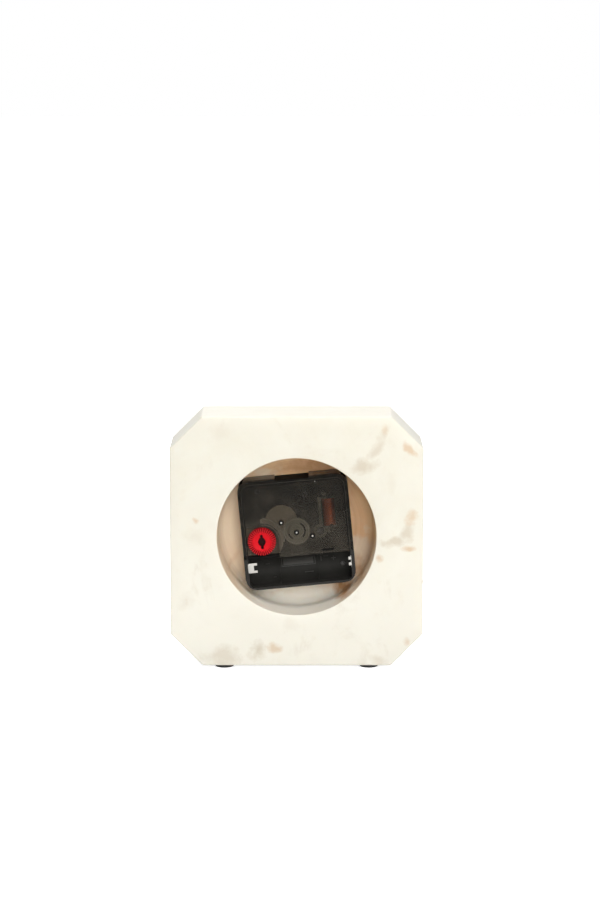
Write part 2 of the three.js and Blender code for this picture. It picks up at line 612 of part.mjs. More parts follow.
function frontShell() {
  const chamberLow = BAY_WALL_TOP;
  const inner = INSIDE;
  const innerRadius = CASE.corner - CASE.wall;
  const above = RIM + CUT_PAST;
  const outside = HALF + CUT_PAST;
  const chamber = roundedRectangle(-inner, chamberLow, inner, inner, [0, 0, innerRadius, innerRadius]);
  const shell = cut(
    plate(caseOutline(), 0, RIM),
    plate(chamber, CASE.floor, above),
    box(-outside, chamberLow, PARTING, outside, outside, above),
    box(-outside, BAY_TOP, PLATE_UNDER - SEAT_GAP, outside, chamberLow + JOIN, above),
    rod(BUSH_RADIUS + RUNNING_GAP, -CUT_PAST, CASE.floor + CUT_PAST),
    ...bayCuts(),
    ...rimNotches(),
  );
  return joined(cut(joined(shell, ...bayRibs()), ...contactSlots()), shellPosts());
}

// The bay is a trough with a round bottom, open to the rear. Its lower corners are rounded like the case's.
function bayCuts() {
  const radius = BAY.height / 2;
  const half = BAY.length / 2;
  const outline = roundedRectangle(-half, BAY_LOW, half, BAY_TOP, [BAY.corner, BAY.corner, 0, 0]);
  const open = plate(outline, CELL_DEPTH, RIM + CUT_PAST);
  const trough = new THREE.CylinderGeometry(radius, radius, BAY.length, LARGE_ROUND_SIDES / 2)
    .rotateZ(Math.PI / 2)
    .translate(0, CELL_Y, CELL_DEPTH);
  return [open, solidFrom(trough).intersect(plate(outline, 0, RIM))];
}

// Two thin ribs across the trough, on which the cell rests.
function bayRibs() {
  const radius = BAY.height / 2;
  return BAY_RIBS.places.map((x) => {
    const ring = new THREE.Shape();
    ring.absarc(0, 0, radius + JOIN, Math.PI, 2 * Math.PI, false);
    ring.absarc(0, 0, radius - BAY_RIBS.height, 2 * Math.PI, Math.PI, true);
    const geometry = new THREE.ExtrudeGeometry(ring, {
      depth: BAY_RIBS.width, bevelEnabled: false, curveSegments: SMALL_ROUND_SIDES,
    });
    geometry.rotateY(Math.PI / 2).rotateX(Math.PI / 2);
    return solidFrom(geometry.translate(x, CELL_Y, CELL_DEPTH));
  });
}

// Notches in the rim, where the cover's snap hooks are released.
function rimNotches() {
  const half = TOP_NOTCH.length / 2;
  const low = PARTING - TOP_NOTCH.deep;
  const top = box(-half, INSIDE - JOIN, low, half, HALF + CUT_PAST, PARTING + CUT_PAST);
  const hollow = topHollow(-CUT_PAST, PARTING + CUT_PAST);
  const sides = [-1, 1].map((side) => {
    const outer = side * (HALF + CUT_PAST);
    const inner = side * (HALF - SIDE_NOTCH.deep);
    return box(Math.min(outer, inner), SIDE_NOTCH.y - SIDE_NOTCH.length / 2, low,
      Math.max(outer, inner), SIDE_NOTCH.y + SIDE_NOTCH.length / 2, PARTING + CUT_PAST);
  });
  return [top, hollow, ...sides];
}

// The shallow hollow across the case's top side, which the shell and the cover share.
function topHollow(low, high) {
  const half = TOP_NOTCH.length / 2;
  return box(-half, HALF - TOP_NOTCH.inset, low, half, HALF + CUT_PAST, high);
}

// Slots beside the bay's ends, into which the contact sheets drop.
function contactSpan({ aboveCell, fromFloor, drop }) {
  return { y: CELL_Y + aboveCell, low: BAY.floor + fromFloor, top: RIM - drop };
}

function contactSlots() {
  const outer = BAY.length / 2 + SHEET + RUNNING_GAP;
  const inner = BAY.length / 2 - JOIN;
  const slot = (contact, left, right) => {
    const { y, low } = contactSpan(contact);
    const reach = contact.width / 2 + RUNNING_GAP;
    return box(left, y - reach, low - RUNNING_GAP, right, y + reach, RIM + CUT_PAST);
  };
  return [slot(LEFT_CONTACT, -outer, -inner), slot(RIGHT_CONTACT, inner, outer)];
}

function shellPosts() {
  const underBoard = LEVEL.circuitBoard[0] - RUNNING_GAP;
  const underPlate = LEVEL.middlePlate[0] - RUNNING_GAP;
  return joined(
    post(THIRD, POST.radius, LEVEL.thirdPinion[0] - END_SHAKE, PIVOT_DEPTH + END_SHAKE),
    post(MINUTE, POST.minuteRadius, LEVEL.motionWork[1] + RUNNING_GAP),
    post(KNOB_PLACE, POST.knobRadius, LEVEL.motionWork[0]),
    ...boardPostPlaces().map((place) => post(place, POST.radius, underBoard)),
    ...platePostPlaces().map((place) => post(place, POST.radius, underPlate)),
    ...bridgePostPlaces().map((place) => post(place, POST.radius, LEVEL.bridge[0] - RUNNING_GAP)),
  );
}

const boardPostPlaces = () => [
  [BOARD_EDGE.left + POST.radius, BOARD_EDGE.top - POST.radius],
  [BOARD_EDGE.right - POST.radius, BOARD_EDGE.top - POST.radius],
  [BOARD_EDGE.right - POST.radius, BOARD_EDGE.bottom + POST.radius],
];

const platePostPlaces = () => {
  const upper = PLATE_EDGE.top - PLATE_POST.fromTop;
  const lower = PLATE_EDGE.bottom + PLATE_POST.fromBottom;
  return [
    [PLATE_EDGE.left + PLATE_POST.fromLeft[0], upper],
    [PLATE_POST.right[0], upper],
    [PLATE_EDGE.left + PLATE_POST.fromLeft[1], lower],
    [PLATE_POST.right[1], lower],
  ];
};

const bridgePostPlaces = () => {
  const x = BRIDGE_EDGE.left + BRIDGE_POST_INSET.side;
  return [[x, BRIDGE_EDGE.top - BRIDGE_POST_INSET.end], [x, BRIDGE_EDGE.bottom + BRIDGE_POST_INSET.end]];
};

// Smoked rear cover: a stepped lid over the gear chamber with an open pocket for the setting knob
function rearCover() {
  const edge = BAY_TOP;
  const inner = INSIDE;
  const innerRadius = CASE.corner - CASE.wall;
  const raised = HALF - COVER.step;
  const raisedRadius = CASE.corner - COVER.step;
  const low = PARTING + RUNNING_GAP;
  const shoulder = CASE_DEPTH - COVER.stepHeight;
  const upperShape = (reach, radius, bottom) =>
    roundedRectangle(-reach, bottom, reach, reach, [0, 0, radius, radius]);
  const block = joined(
    plate(upperShape(HALF, CASE.corner, edge), low, shoulder),
    plate(upperShape(raised, raisedRadius, edge), low, CASE_DEPTH));
  const hollow = plate(upperShape(inner, innerRadius, edge - CUT_PAST), low - CUT_PAST, PLATE_UNDER);
  const bayStep = box(-HALF - CUT_PAST, edge - CUT_PAST, low - CUT_PAST,
    HALF + CUT_PAST, edge + BAY.wall + RUNNING_GAP, PLATE_UNDER);
  const opening = pocketShape(0, low - CUT_PAST, CASE_DEPTH + CUT_PAST);
  const notch = topHollow(low - CUT_PAST, CASE_DEPTH + CUT_PAST);
  const lid = cut(block, hollow, bayStep, opening, slotCut(), notch);
  const pocket = pocketShape(0, POCKET_FLOOR, CASE_DEPTH + CUT_PAST);
  return cut(joined(lid, pocketTray(), ...bearingBosses()), pocket);
}

// The pocket runs from the left side of the case to its right wall, and from the bay up to its top wall.
function pocketShape(grow, low, high, left = -HALF - CUT_PAST) {
  const outline = roundedRectangle(left, BAY_TOP - CUT_PAST, POCKET_RIGHT + grow, POCKET_TOP + grow,
    [0, 0, POCKET.corner + grow, 0]);
  return plate(outline, low, high);
}

function pocketTray() {
  const inside = -HALF + CASE.wall + RUNNING_GAP;
  const low = POCKET_FLOOR - POCKET.floor;
  const tray = pocketShape(POCKET.wall, low, PLATE_UNDER + JOIN, inside);
  const below = box(-HALF - CUT_PAST, BAY_TOP - 2 * CUT_PAST, low - CUT_PAST, HALF,
    BAY_WALL_TOP + RUNNING_GAP, PLATE_UNDER + CUT_PAST);
  const hub = rod(KNOB.hub + END_SHAKE, low - CUT_PAST, POCKET_FLOOR + CUT_PAST, KNOB_PLACE);
  return cut(tray, below, hub);
}

function slotCut() {
  const { fromSide, rise, length, width } = SLOT;
  const x = HALF - fromSide;
  const y = BAY_TOP + rise;
  const low = PLATE_UNDER - CUT_PAST;
  return box(x - length / 2, y - width / 2, low, x + length / 2, y + width / 2, CASE_DEPTH + CUT_PAST);
}

// Bosses under the cover hold the upper pivots, with a low dome outside over each.
function bearingBosses() {
  const hole = ARBOR_RADIUS + RUNNING_GAP;
  const low = LEVEL.magnet[1] + END_SHAKE;
  return [THIRD, AXIS, FIFTH, ROTOR].flatMap((place) => {
    const boss = turned([
      [0, PLATE_UNDER + JOIN],
      [hole, PLATE_UNDER - JOIN],
      [hole, low],
      [POST.radius, low],
      [POST.radius, PLATE_UNDER + 2 * JOIN],
      [0, PLATE_UNDER + 2 * JOIN],
    ], SMALL_ROUND_SIDES, place);
    if (place === ROTOR) return [boss];
    const dome = turned([
      [0, CASE_DEPTH - JOIN],
      [COVER.domeRadius, CASE_DEPTH - JOIN],
      [COVER.domeRadius * 0.7, CASE_DEPTH + COVER.domeHeight * 0.7],
      [0, CASE_DEPTH + COVER.domeHeight],
    ], SMALL_ROUND_SIDES, place);
    return [boss, dome];
  });
}

// Plates inside
function capsule([ax, ay], [bx, by], radius, low, high) {
  const along = (Math.atan2(by - ay, bx - ax) * 180) / Math.PI;
  const arc = ([x, y], start) =>
    Array.from({ length: 7 }, (_, i) => plus([x, y], polar(radius, along + start + 30 * i)));
  return plate(polygon([...arc([bx, by], -90), ...arc([ax, ay], 90)]), low, high);
}

// The black middle plate carries the motor on three pegs and the lower pivots of the fifth wheel and rotor.
function middlePlate() {
  const [low, high] = LEVEL.middlePlate;
  const { left, right, bottom, top } = PLATE_EDGE;
  const outline = roundedRectangle(left, bottom, right, top, [0, 0, CASE.corner - CASE.wall, 0]);
  const pivot = (place) => arborHole(place, low - CUT_PAST, high + CUT_PAST);
  const head = LEVEL.stator[1] + RUNNING_GAP;
  const pegs = [STATOR_POST, COIL_TOP_POST, COIL_FOOT_POST].map((place) => joined(
    rod(MOTOR_PEG.radius, high - JOIN, head + JOIN, place, SMALL_ROUND_SIDES),
    rod(MOTOR_PEG.head, head, head + MOTOR_PEG.headHeight, place, SMALL_ROUND_SIDES),
    rod(MOTOR_PEG.head, high - JOIN, LEVEL.core[0] - RUNNING_GAP, place, SMALL_ROUND_SIDES)));
  const centre = rod(MINUTE_TUBE_RADIUS + RUNNING_GAP, low - CUT_PAST, high + CUT_PAST);
  return joined(cut(plate(outline, low, high), centre, ...[THIRD, FIFTH, ROTOR].map(pivot)), ...pegs);
}

// The pale bridge beside the knob pocket steadies the knob's shaft above the third wheel.
function settingBridge() {
  const { left, bottom, top } = BRIDGE_EDGE;
  const from = (Math.asin((bottom - KNOB_PLACE[1]) / BRIDGE_REACH) * 180) / Math.PI;
  const arc = Array.from({ length: BRIDGE.steps + 1 }, (_, i) =>
    plus(KNOB_PLACE, polar(BRIDGE_REACH, from + ((90 - from) * i) / BRIDGE.steps)));
  const outline = [[left, bottom], ...arc, [KNOB_PLACE[0], top], [left, top]];
  const hole = circlePoints(KNOB.hub + RUNNING_GAP, ROUND_SIDES, KNOB_PLACE);
  return plate(withHoles(polygon(outline), hole), ...LEVEL.bridge);
}

// Gear train phases, each from the gear that it meshes with
const angleOf = (place) => directionTo(AXIS, place);
const backFrom = (place) => directionTo(place, AXIS);
const PHASE = {};
PHASE.secondsWheel = 0;
PHASE.fifthPinion = meshPhase(TEETH.secondsWheel, PHASE.secondsWheel, TEETH.fifthPinion, angleOf(FIFTH));
PHASE.fifthWheel = 0;
PHASE.rotor = meshPhase(TEETH.fifthWheel, PHASE.fifthWheel, TEETH.rotor, directionTo(FIFTH, ROTOR));
PHASE.secondsPinion = 0;
PHASE.thirdWheel = meshPhase(TEETH.secondsPinion, PHASE.secondsPinion, TEETH.thirdWheel, angleOf(THIRD));
PHASE.thirdPinion = 0;
PHASE.centreWheel = meshPhase(TEETH.thirdPinion, PHASE.thirdPinion, TEETH.centreWheel, backFrom(THIRD));
PHASE.cannon = 0;
PHASE.minuteWheel = meshPhase(TEETH.cannon, PHASE.cannon, TEETH.minuteWheel, angleOf(MINUTE));
PHASE.minutePinion = 0;
PHASE.hourWheel = meshPhase(TEETH.minutePinion, PHASE.minutePinion, TEETH.hourWheel, backFrom(MINUTE));
PHASE.knob = meshPhase(TEETH.minuteWheel, PHASE.minuteWheel, TEETH.knob, directionTo(MINUTE, KNOB_PLACE));

const pivotTop = PLATE_UNDER - END_SHAKE;
const arbor = (place, low, high, radius = ARBOR_RADIUS) => rod(radius, low, high, place, SMALL_ROUND_SIDES);

function rotor() {
  return joined(
    pinion(TEETH.rotor, MODULE.rotor, PHASE.rotor, ROTOR, LEVEL.rotorPinion),
    rod(ROTOR_MAGNET_RADIUS, ...LEVEL.magnet, ROTOR),
    arbor(ROTOR, LEVEL.middlePlate[0], pivotTop));
}

function fifthWheel() {
  return joined(
    wheel(TEETH.fifthWheel, MODULE.rotor, PHASE.fifthWheel, FIFTH, LEVEL.fifthWheel),
    pinion(TEETH.fifthPinion, MODULE.seconds, PHASE.fifthPinion, FIFTH, LEVEL.fifthPinion),
    arbor(FIFTH, LEVEL.middlePlate[0], pivotTop));
}

// The seconds wheel has two curved openings beside its hub, and a long arbor that reaches the second hand.
function secondsWheel() {
  const { inner, outer, sweep, starts } = SECONDS_WHEEL_SLOT;
  const slots = starts.map((start) => curvedSlot(inner, outer, start, sweep));
  return joined(
    wheel(TEETH.secondsWheel, MODULE.seconds, PHASE.secondsWheel, AXIS, LEVEL.secondsWheel, ...slots),
    pinion(TEETH.secondsPinion, MODULE.third, PHASE.secondsPinion, AXIS, LEVEL.secondsPinion),
    rod(SECONDS_WHEEL_HUB, LEVEL.secondsPinion[1] - JOIN, LEVEL.secondsWheel[1] + END_SHAKE),
    arbor(AXIS, SECOND_LEVEL, LEVEL.secondsWheel[0], SECONDS_ARBOR_RADIUS),
    arbor(AXIS, LEVEL.secondsWheel[0] - JOIN, pivotTop));
}

function curvedSlot(inner, outer, start, sweep) {
  const steps = 8;
  const arc = (radius) =>
    Array.from({ length: steps + 1 }, (_, i) => polar(radius, start + (sweep * i) / steps));
  return [...arc(outer), ...arc(inner).reverse()];
}

function thirdWheel() {
  return joined(
    wheel(TEETH.thirdWheel, MODULE.third, PHASE.thirdWheel, THIRD, LEVEL.thirdWheel),
    pinion(TEETH.thirdPinion, centreModule, PHASE.thirdPinion, THIRD, LEVEL.thirdPinion),
    arbor(THIRD, LEVEL.thirdPinion[0] - PIVOT_DEPTH, pivotTop));
}

// The centre wheel turns the minute arbor through a friction fit on its collar.
function centreWheel() {
  const bore = MINUTE_TUBE_RADIUS + RUNNING_GAP;
  const points = gearPoints(TEETH.centreWheel, centreModule, -PROFILE_SHIFT, PHASE.centreWheel, AXIS);
  const shape = polygon(points);
  return plate(withHoles(shape, circlePoints(bore, ROUND_SIDES)), ...LEVEL.centreWheel);
}

function minuteArbor() {
  const cannon = pinion(TEETH.cannon, MODULE.motion, PHASE.cannon, AXIS, LEVEL.motionWork);
  const bore = rod(MINUTE_BORE, MINUTE_LEVEL - CUT_PAST, LEVEL.middlePlate[1] + CUT_PAST);
  return cut(joined(cannon, rod(MINUTE_TUBE_RADIUS, MINUTE_LEVEL, LEVEL.middlePlate[1])), bore);
}

function minuteWheel() {
  const span = [pastWheel(LEVEL.hourWheel)[0], LEVEL.motionWork[0] + JOIN];
  const bore = circlePoints(POST.minuteRadius + RUNNING_GAP, SMALL_ROUND_SIDES, MINUTE);
  return joined(
    wheel(TEETH.minuteWheel, MODULE.motion, PHASE.minuteWheel, MINUTE, LEVEL.motionWork, bore),
    pinion(TEETH.minutePinion, hourModule, PHASE.minutePinion, MINUTE, span, bore));
}

function hourWheel() {
  const bore = circlePoints(HOUR_BORE, ROUND_SIDES);
  return joined(
    wheel(TEETH.hourWheel, hourModule, PHASE.hourWheel, AXIS, LEVEL.hourWheel, bore),
    tube(HOUR_BORE, HOUR_TUBE_RADIUS, HOUR_LEVEL, LEVEL.hourWheel[1]));
}

// Red setting knob: a dished and knurled head with a finger slot, on a hub that ends in its gear
function settingKnob() {
  const { hub, boss, dishRadius, dishFoot, dish } = KNOB;
  const under = POCKET_FLOOR + SEAT_GAP;
  const top = CASE_DEPTH - SEAT_GAP;
  const head = plate(knurledOutline(), under, top);
  const hollow = turned([
    [0, top - dish],
    [dishFoot, top - dish],
    [dishRadius, top],
    [dishRadius, top + CUT_PAST],
    [0, top + CUT_PAST],
  ], ROUND_SIDES, KNOB_PLACE);
  const middle = rod(boss, under, top - JOIN, KNOB_PLACE);
  const gear = pinion(TEETH.knob, MODULE.motion, PHASE.knob, KNOB_PLACE, LEVEL.motionWork);
  const stem = rod(hub, LEVEL.hourWheel[0], under + JOIN, KNOB_PLACE);
  const stemLow = LEVEL.hourWheel[0];
  const bore = arborHole(KNOB_PLACE, stemLow - CUT_PAST, LEVEL.motionWork[0] + END_SHAKE, POST.knobRadius);
  const slot = plate(eyeOutline(), top - KNOB_SLOT.deep, top + CUT_PAST);
  return cut(joined(cut(head, hollow), middle, stem, gear), bore, slot);
}

function knurledOutline() {
  const { teeth, depth } = KNURL;
  return polygon(Array.from({ length: teeth * 2 }, (_, i) =>
    plus(KNOB_PLACE, polar(i % 2 ? KNOB.radius : KNOB.radius - depth, (180 * i) / teeth))));
}

// The slot has the outline of an eye with a square tab at each end.
function eyeOutline() {
  const [x, y] = KNOB_PLACE;
  const { length, width, tab, tabReach } = KNOB_SLOT;
  const half = length / 2 - tabReach;
  const waist = half * 0.3;
  const side = [
    [tab / 2, -half - tabReach], [tab / 2, -half], [width / 2, -waist],
    [width / 2, waist], [tab / 2, half], [tab / 2, half + tabReach],
  ];
  const opposite = side.map(([px, py]) => [-px, -py]);
  return polygon([...side, ...opposite].map(([px, py]) => [x + px, y + py]));
}

// Motor
function coilSpace(grow) {
  const [x, y] = COIL_PLACE;
  const half = BOBBIN.flangeHalfWidth + grow;
  const long = COIL_REACH + grow;
  return box(x - half, y - long, CASE.floor, x + half, y + long, CASE_DEPTH);
}

function stator() {
  const [low, high] = LEVEL.stator;
  const { lobe, hole, barLean, barWidth, footWidth } = STATOR;
  const barFoot = [STATOR_POST[0] - barLean, ROTOR[1] + hole * 1.6];
  const peg = (place) => arborHole(place, low - CUT_PAST, high + CUT_PAST, MOTOR_PEG.radius);
  const plates = joined(
    rod(lobe, low, high, ROTOR),
    capsule(STATOR_POST, barFoot, barWidth / 2, low, high),
    capsule([ROTOR[0] + hole * 1.4, ROTOR[1]], COIL_FOOT_POST, footWidth / 2, low, high),
    rod(barWidth * 0.6, low, high, STATOR_POST));
  const opening = rod(hole, low - CUT_PAST, high + CUT_PAST, ROTOR);
  return cut(plates, opening, coilSpace(END_SHAKE), ...[STATOR_POST, COIL_FOOT_POST].map(peg));
}

function coilCore() {
  const [low, high] = LEVEL.core;
  const x = COIL_PLACE[0];
  const wide = CORE.endWidth / 2;
  const peg = (place) => arborHole(place, low - CUT_PAST, high + CUT_PAST, MOTOR_PEG.radius);
  const ends = joined(
    capsule(STATOR_POST, COIL_TOP_POST, wide / 1.4, low, high),
    capsule([x, COIL_FOOT_POST[1]], COIL_FOOT_POST, wide, low, high));
  const half = CORE.width / 2;
  const bar = box(x - half, COIL_FOOT_POST[1], low, x + half, COIL_TOP_POST[1], high);
  const clear = cut(ends, coilSpace(END_SHAKE / 2));
  return cut(joined(clear, bar), ...[STATOR_POST, COIL_TOP_POST, COIL_FOOT_POST].map(peg));
}

// Half axes of the winding's wire centre line
const WINDING = { a: COIL.halfWidth - WIRE.radius, b: COIL.halfThickness - WIRE.radius };

function bobbin() {
  const { flange, flangeHalfWidth, flangeHalfThickness, layerGap, boreGap } = BOBBIN;
  const [x, y] = COIL_PLACE;
  const depth = LEVEL.coil;
  const long = COIL.length / 2;
  const inset = WIRE.radius + layerGap;
  const barrel = new THREE.CylinderGeometry(1, 1, 2 * (long + JOIN), ROUND_SIDES)
    .scale(WINDING.a - inset, 1, WINDING.b - inset)
    .translate(x, y, depth);
  const flangeAt = (low) => box(x - flangeHalfWidth, low, depth - flangeHalfThickness,
    x + flangeHalfWidth, low + flange, depth + flangeHalfThickness);
  const halfBore = CORE.width / 2 + boreGap;
  const halfSlot = CORE.thickness / 2 + boreGap;
  const past = long + 2 * flange;
  const bore = box(x - halfBore, y - past, depth - halfSlot, x + halfBore, y + past, depth + halfSlot);
  return cut(joined(solidFrom(barrel), flangeAt(y - long - flange), flangeAt(y + long)), bore);
}

// The winding is one unbroken wire in a single visible layer, with a straight end towards each flange.
function windingPoints() {
  const { loops, stepsPerLoop, radius, endGap } = WIRE;
  const stub = 2 * radius;
  const run = COIL.length - 2 * (stub + endGap);
  const steps = loops * stepsPerLoop;
  const coiled = Array.from({ length: steps + 1 }, (_, i) => {
    const turn = (2 * Math.PI * i) / stepsPerLoop;
    const along = (run * i) / steps - run / 2;
    return new THREE.Vector3(WINDING.a * Math.cos(turn), along, WINDING.b * Math.sin(turn));
  });
  const before = coiled[0].clone().setY(-run / 2 - stub);
  const after = coiled[steps].clone().setY(run / 2 + stub);
  return [before, ...coiled, after];
}

// The least distance between points of different turns, less the wire itself.
function leastTurnGap(points) {
  const apart = Math.floor(WIRE.stepsPerLoop / 2);
  let least = Infinity;
  for (let i = 0; i < points.length; i += 1) {
    for (let j = i + apart; j < points.length; j += 1) {
      least = Math.min(least, points[i].distanceTo(points[j]));
    }
  }
  return least - 2 * WIRE.radius;
}

// A closed tube along points that run round the y axis. Its rings are set out from that axis, so that they
// never twist.
function wireAlong(points, radius, sides) {
  const positions = [];
  const last = points.length - 1;
  points.forEach((point, i) => {
    const tangent = points[Math.min(i + 1, last)].clone().sub(points[Math.max(i - 1, 0)]).normalize();
    const outward = new THREE.Vector3(point.x, 0, point.z);
    outward.addScaledVector(tangent, -outward.dot(tangent)).normalize();
    const across = tangent.clone().cross(outward);
    for (let k = 0; k < sides; k += 1) {
      const [u, v] = polar(radius, (360 * k) / sides);
      const corner = point.clone().addScaledVector(outward, u).addScaledVector(across, v);
      positions.push(corner.x, corner.y, corner.z);
    }
  });
  const ends = [points[0], points[last]].map((point) => {
    positions.push(point.x, point.y, point.z);
    return positions.length / 3 - 1;
  });
  const index = [];
  for (let i = 0; i < last; i += 1) {
    for (let k = 0; k < sides; k += 1) {
      const a = i * sides + k;
      const b = i * sides + ((k + 1) % sides);
      index.push(a, b, b + sides, a, b + sides, a + sides);
    }
  }
  for (let k = 0; k < sides; k += 1) {
    const next = (k + 1) % sides;
    index.push(ends[0], next, k, ends[1], last * sides + k, last * sides + next);
  }
  const geometry = new THREE.BufferGeometry();
  geometry.setAttribute("position", new THREE.BufferAttribute(new Float32Array(positions), 3));
  geometry.setIndex(index);
  return geometry;
}

function coilWinding() {
  const points = windingPoints();
  const gap = leastTurnGap(points);
  console.log(`coil winding: ${WIRE.loops} loops, least gap to itself ${gap.toFixed(2)} mm`);
  if (gap < LEAST_TURN_GAP) console.log(`coil winding: the gap is under ${LEAST_TURN_GAP} mm`);
  return solidFrom(wireAlong(points, WIRE.radius, WIRE.sides).translate(...COIL_PLACE, LEVEL.coil));
}

// Electronics
function circuitBoard() {
  const { left, bottom, right, top } = BOARD_EDGE;
  return plate(chamferedSquare(left, bottom, right, top, BOARD.corner), ...LEVEL.circuitBoard);
}

const onBoard = (fromLeft, fromBottom) => plus([BOARD_EDGE.left, BOARD_EDGE.bottom], [fromLeft, fromBottom]);

function chipBlob() {
  const low = LEVEL.circuitBoard[1] + RUNNING_GAP;
  const { radius, height, fromLeft, fromBottom } = CHIP;
  return turned([
    [0, low],
    [radius, low],
    [radius * 0.9, low + height * 0.5],
    [radius * 0.55, low + height * 0.9],
    [0, low + height],
  ], SMALL_ROUND_SIDES, onBoard(fromLeft, fromBottom));
}

function quartzCrystal() {
  const { radius, length, fromLeft, fromBottom } = CRYSTAL;
  const [x, y] = onBoard(fromLeft, fromBottom);
  const can = turned([[0, 0], [radius, 0], [radius, length], [0, length]], SMALL_ROUND_SIDES);
  return can.rotate([-90, 0, 0]).translate([x, y, LEVEL.circuitBoard[1] + RUNNING_GAP + radius]);
}

// Battery contacts: sheets that stand against the bay's end walls, folded over and pronged at the rear
function leftContact() {
  const { width, tab, prong, prongWidth } = LEFT_CONTACT;
  const { y, low, top } = contactSpan(LEFT_CONTACT);
  const outer = -BAY.length / 2 - SHEET;
  const leg = box(outer, y - width / 2, low, outer + SHEET, y + width / 2, top);
  const fold = box(outer, y - width / 2, top - SHEET, outer + tab, y + width / 2, top);
  const prongAt = (start) => box(outer, start, top - SHEET, outer + tab + prong, start + prongWidth, top);
  return joined(leg, fold, prongAt(y - width / 2), prongAt(y + width / 2 - prongWidth));
}

function rightContact() {
  const { width, prong, prongWidth } = RIGHT_CONTACT;
  const { y, low, top } = contactSpan(RIGHT_CONTACT);
  const outer = BAY.length / 2 + SHEET;
  const leg = box(outer - SHEET, y - width / 2, low, outer, y + width / 2, top - SHEET);
  const half = prongWidth / 2;
  const prongAt = (middle) => box(outer - prong, middle - half, top - 2 * SHEET, outer, middle + half, top);
  return joined(leg, prongAt(y + prongWidth), prongAt(y - prongWidth));
}

// The movement, turned a little in its recess as it was fitted
function movement() {
  const group = new THREE.Group();
  group.position.set(0, AXIS_HEIGHT, CASE_FRONT);
  group.rotation.z = radians(CASE.tilt);
  const pieces = [
    ["movement_front_shell", frontShell(), FINISH.blackPlastic],
    ["movement_rear_cover", rearCover(), FINISH.smokedPlastic],
    ["middle_plate", middlePlate(), FINISH.blackPlastic],
    ["setting_bridge", settingBridge(), FINISH.beigePlastic],
    ["threaded_bush", threadedBush(), FINISH.brass],
    ["rubber_washer", rubberWasher(), FINISH.rubber],
    ["brass_washer", brassWasher(), FINISH.brass],
    ["hex_nut", hexNut(), FINISH.brass],
    ["rotor", rotor(), FINISH.magnet],
    ["fifth_wheel", fifthWheel(), FINISH.beigePlastic],
    ["seconds_wheel", secondsWheel(), FINISH.beigePlastic],
    ["third_wheel", thirdWheel(), FINISH.beigePlastic],
    ["centre_wheel", centreWheel(), FINISH.beigePlastic],
    ["minute_arbor", minuteArbor(), FINISH.beigePlastic],
    ["minute_wheel", minuteWheel(), FINISH.beigePlastic],
    ["hour_wheel", hourWheel(), FINISH.beigePlastic],
    ["setting_knob", settingKnob(), FINISH.redPlastic],
    ["stator", stator(), FINISH.steel],
    ["coil_core", coilCore(), FINISH.steel],
    ["coil_bobbin", bobbin(), FINISH.whitePlastic],
    ["coil_winding", coilWinding(), FINISH.copper],
    ["circuit_board", circuitBoard(), FINISH.board],
    ["chip_blob", chipBlob(), FINISH.resin],
    ["quartz_crystal", quartzCrystal(), FINISH.steel],
    ["battery_contact_left", leftContact(), FINISH.steel],
    ["battery_contact_right", rightContact(), FINISH.steel],
  ];
  for (const [name, solid, finish] of pieces) group.add(named(name, solid, finish));
  group.add(hands());
  return group;
}

// The whole clock: its drawing is stood upright, and its box is centred front to back.
function marbleClock() {
  const drawing = new THREE.Group();
  drawing.add(named("marble_body", marbleBlock(), FINISH.marble), feet(), hourMarkers(), movement());
  drawing.rotation.set(Math.PI / 2, 0, Math.PI, "ZYX");
  drawing.position.y = -(BLOCK.depth - FRONT_REACH) / 2;
  const clock = new THREE.Group();
  clock.add(drawing);
  return clock;
}

export default marbleClock();
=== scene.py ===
import json
from math import atan2, cos, pi, radians, sin, sqrt, tan, tau

import bmesh
import bpy
from bpy.props import FloatProperty, FloatVectorProperty, PointerProperty
from mathutils import Matrix, Vector, noise


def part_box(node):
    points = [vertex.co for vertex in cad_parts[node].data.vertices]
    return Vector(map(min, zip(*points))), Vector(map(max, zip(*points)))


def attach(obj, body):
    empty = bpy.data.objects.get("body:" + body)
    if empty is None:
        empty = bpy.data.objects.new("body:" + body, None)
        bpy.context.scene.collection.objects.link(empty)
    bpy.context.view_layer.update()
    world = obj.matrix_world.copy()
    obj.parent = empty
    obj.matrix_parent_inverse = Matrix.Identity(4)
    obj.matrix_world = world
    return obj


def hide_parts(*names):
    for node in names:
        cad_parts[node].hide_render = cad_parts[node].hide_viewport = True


bl_info = {
    "name": "Marble table clock",
    "version": (1, 0, 0),
    "blender": (4, 5, 0),
    "location": "View3D > Sidebar > Marble clock",
    "description": "A pale marble table clock seen from behind, with its quartz movement in a round recess",
    "category": "Object",
}

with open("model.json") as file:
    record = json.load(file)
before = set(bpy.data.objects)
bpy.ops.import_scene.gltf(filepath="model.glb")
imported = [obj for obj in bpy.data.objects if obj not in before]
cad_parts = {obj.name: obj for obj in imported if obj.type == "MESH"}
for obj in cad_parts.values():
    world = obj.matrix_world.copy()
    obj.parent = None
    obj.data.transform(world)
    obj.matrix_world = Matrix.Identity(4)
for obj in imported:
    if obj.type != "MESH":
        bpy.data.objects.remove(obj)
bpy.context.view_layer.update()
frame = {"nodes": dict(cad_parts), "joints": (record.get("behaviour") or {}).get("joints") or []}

MM = 0.001
BLOCK_LOW, BLOCK_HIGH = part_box("marble_body")
HINGES = {joint["child"]: Vector(joint["pos_m"]) for joint in frame["joints"]}
AXIS = Vector((HINGES["minute"].x, 0.0, HINGES["minute"].z))
CASE_FRONT_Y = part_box("movement_front_shell")[0].y
BACK_Y = BLOCK_HIGH.y
DIAL_Y = BLOCK_LOW.y
CASE_TILT = radians(5.44)

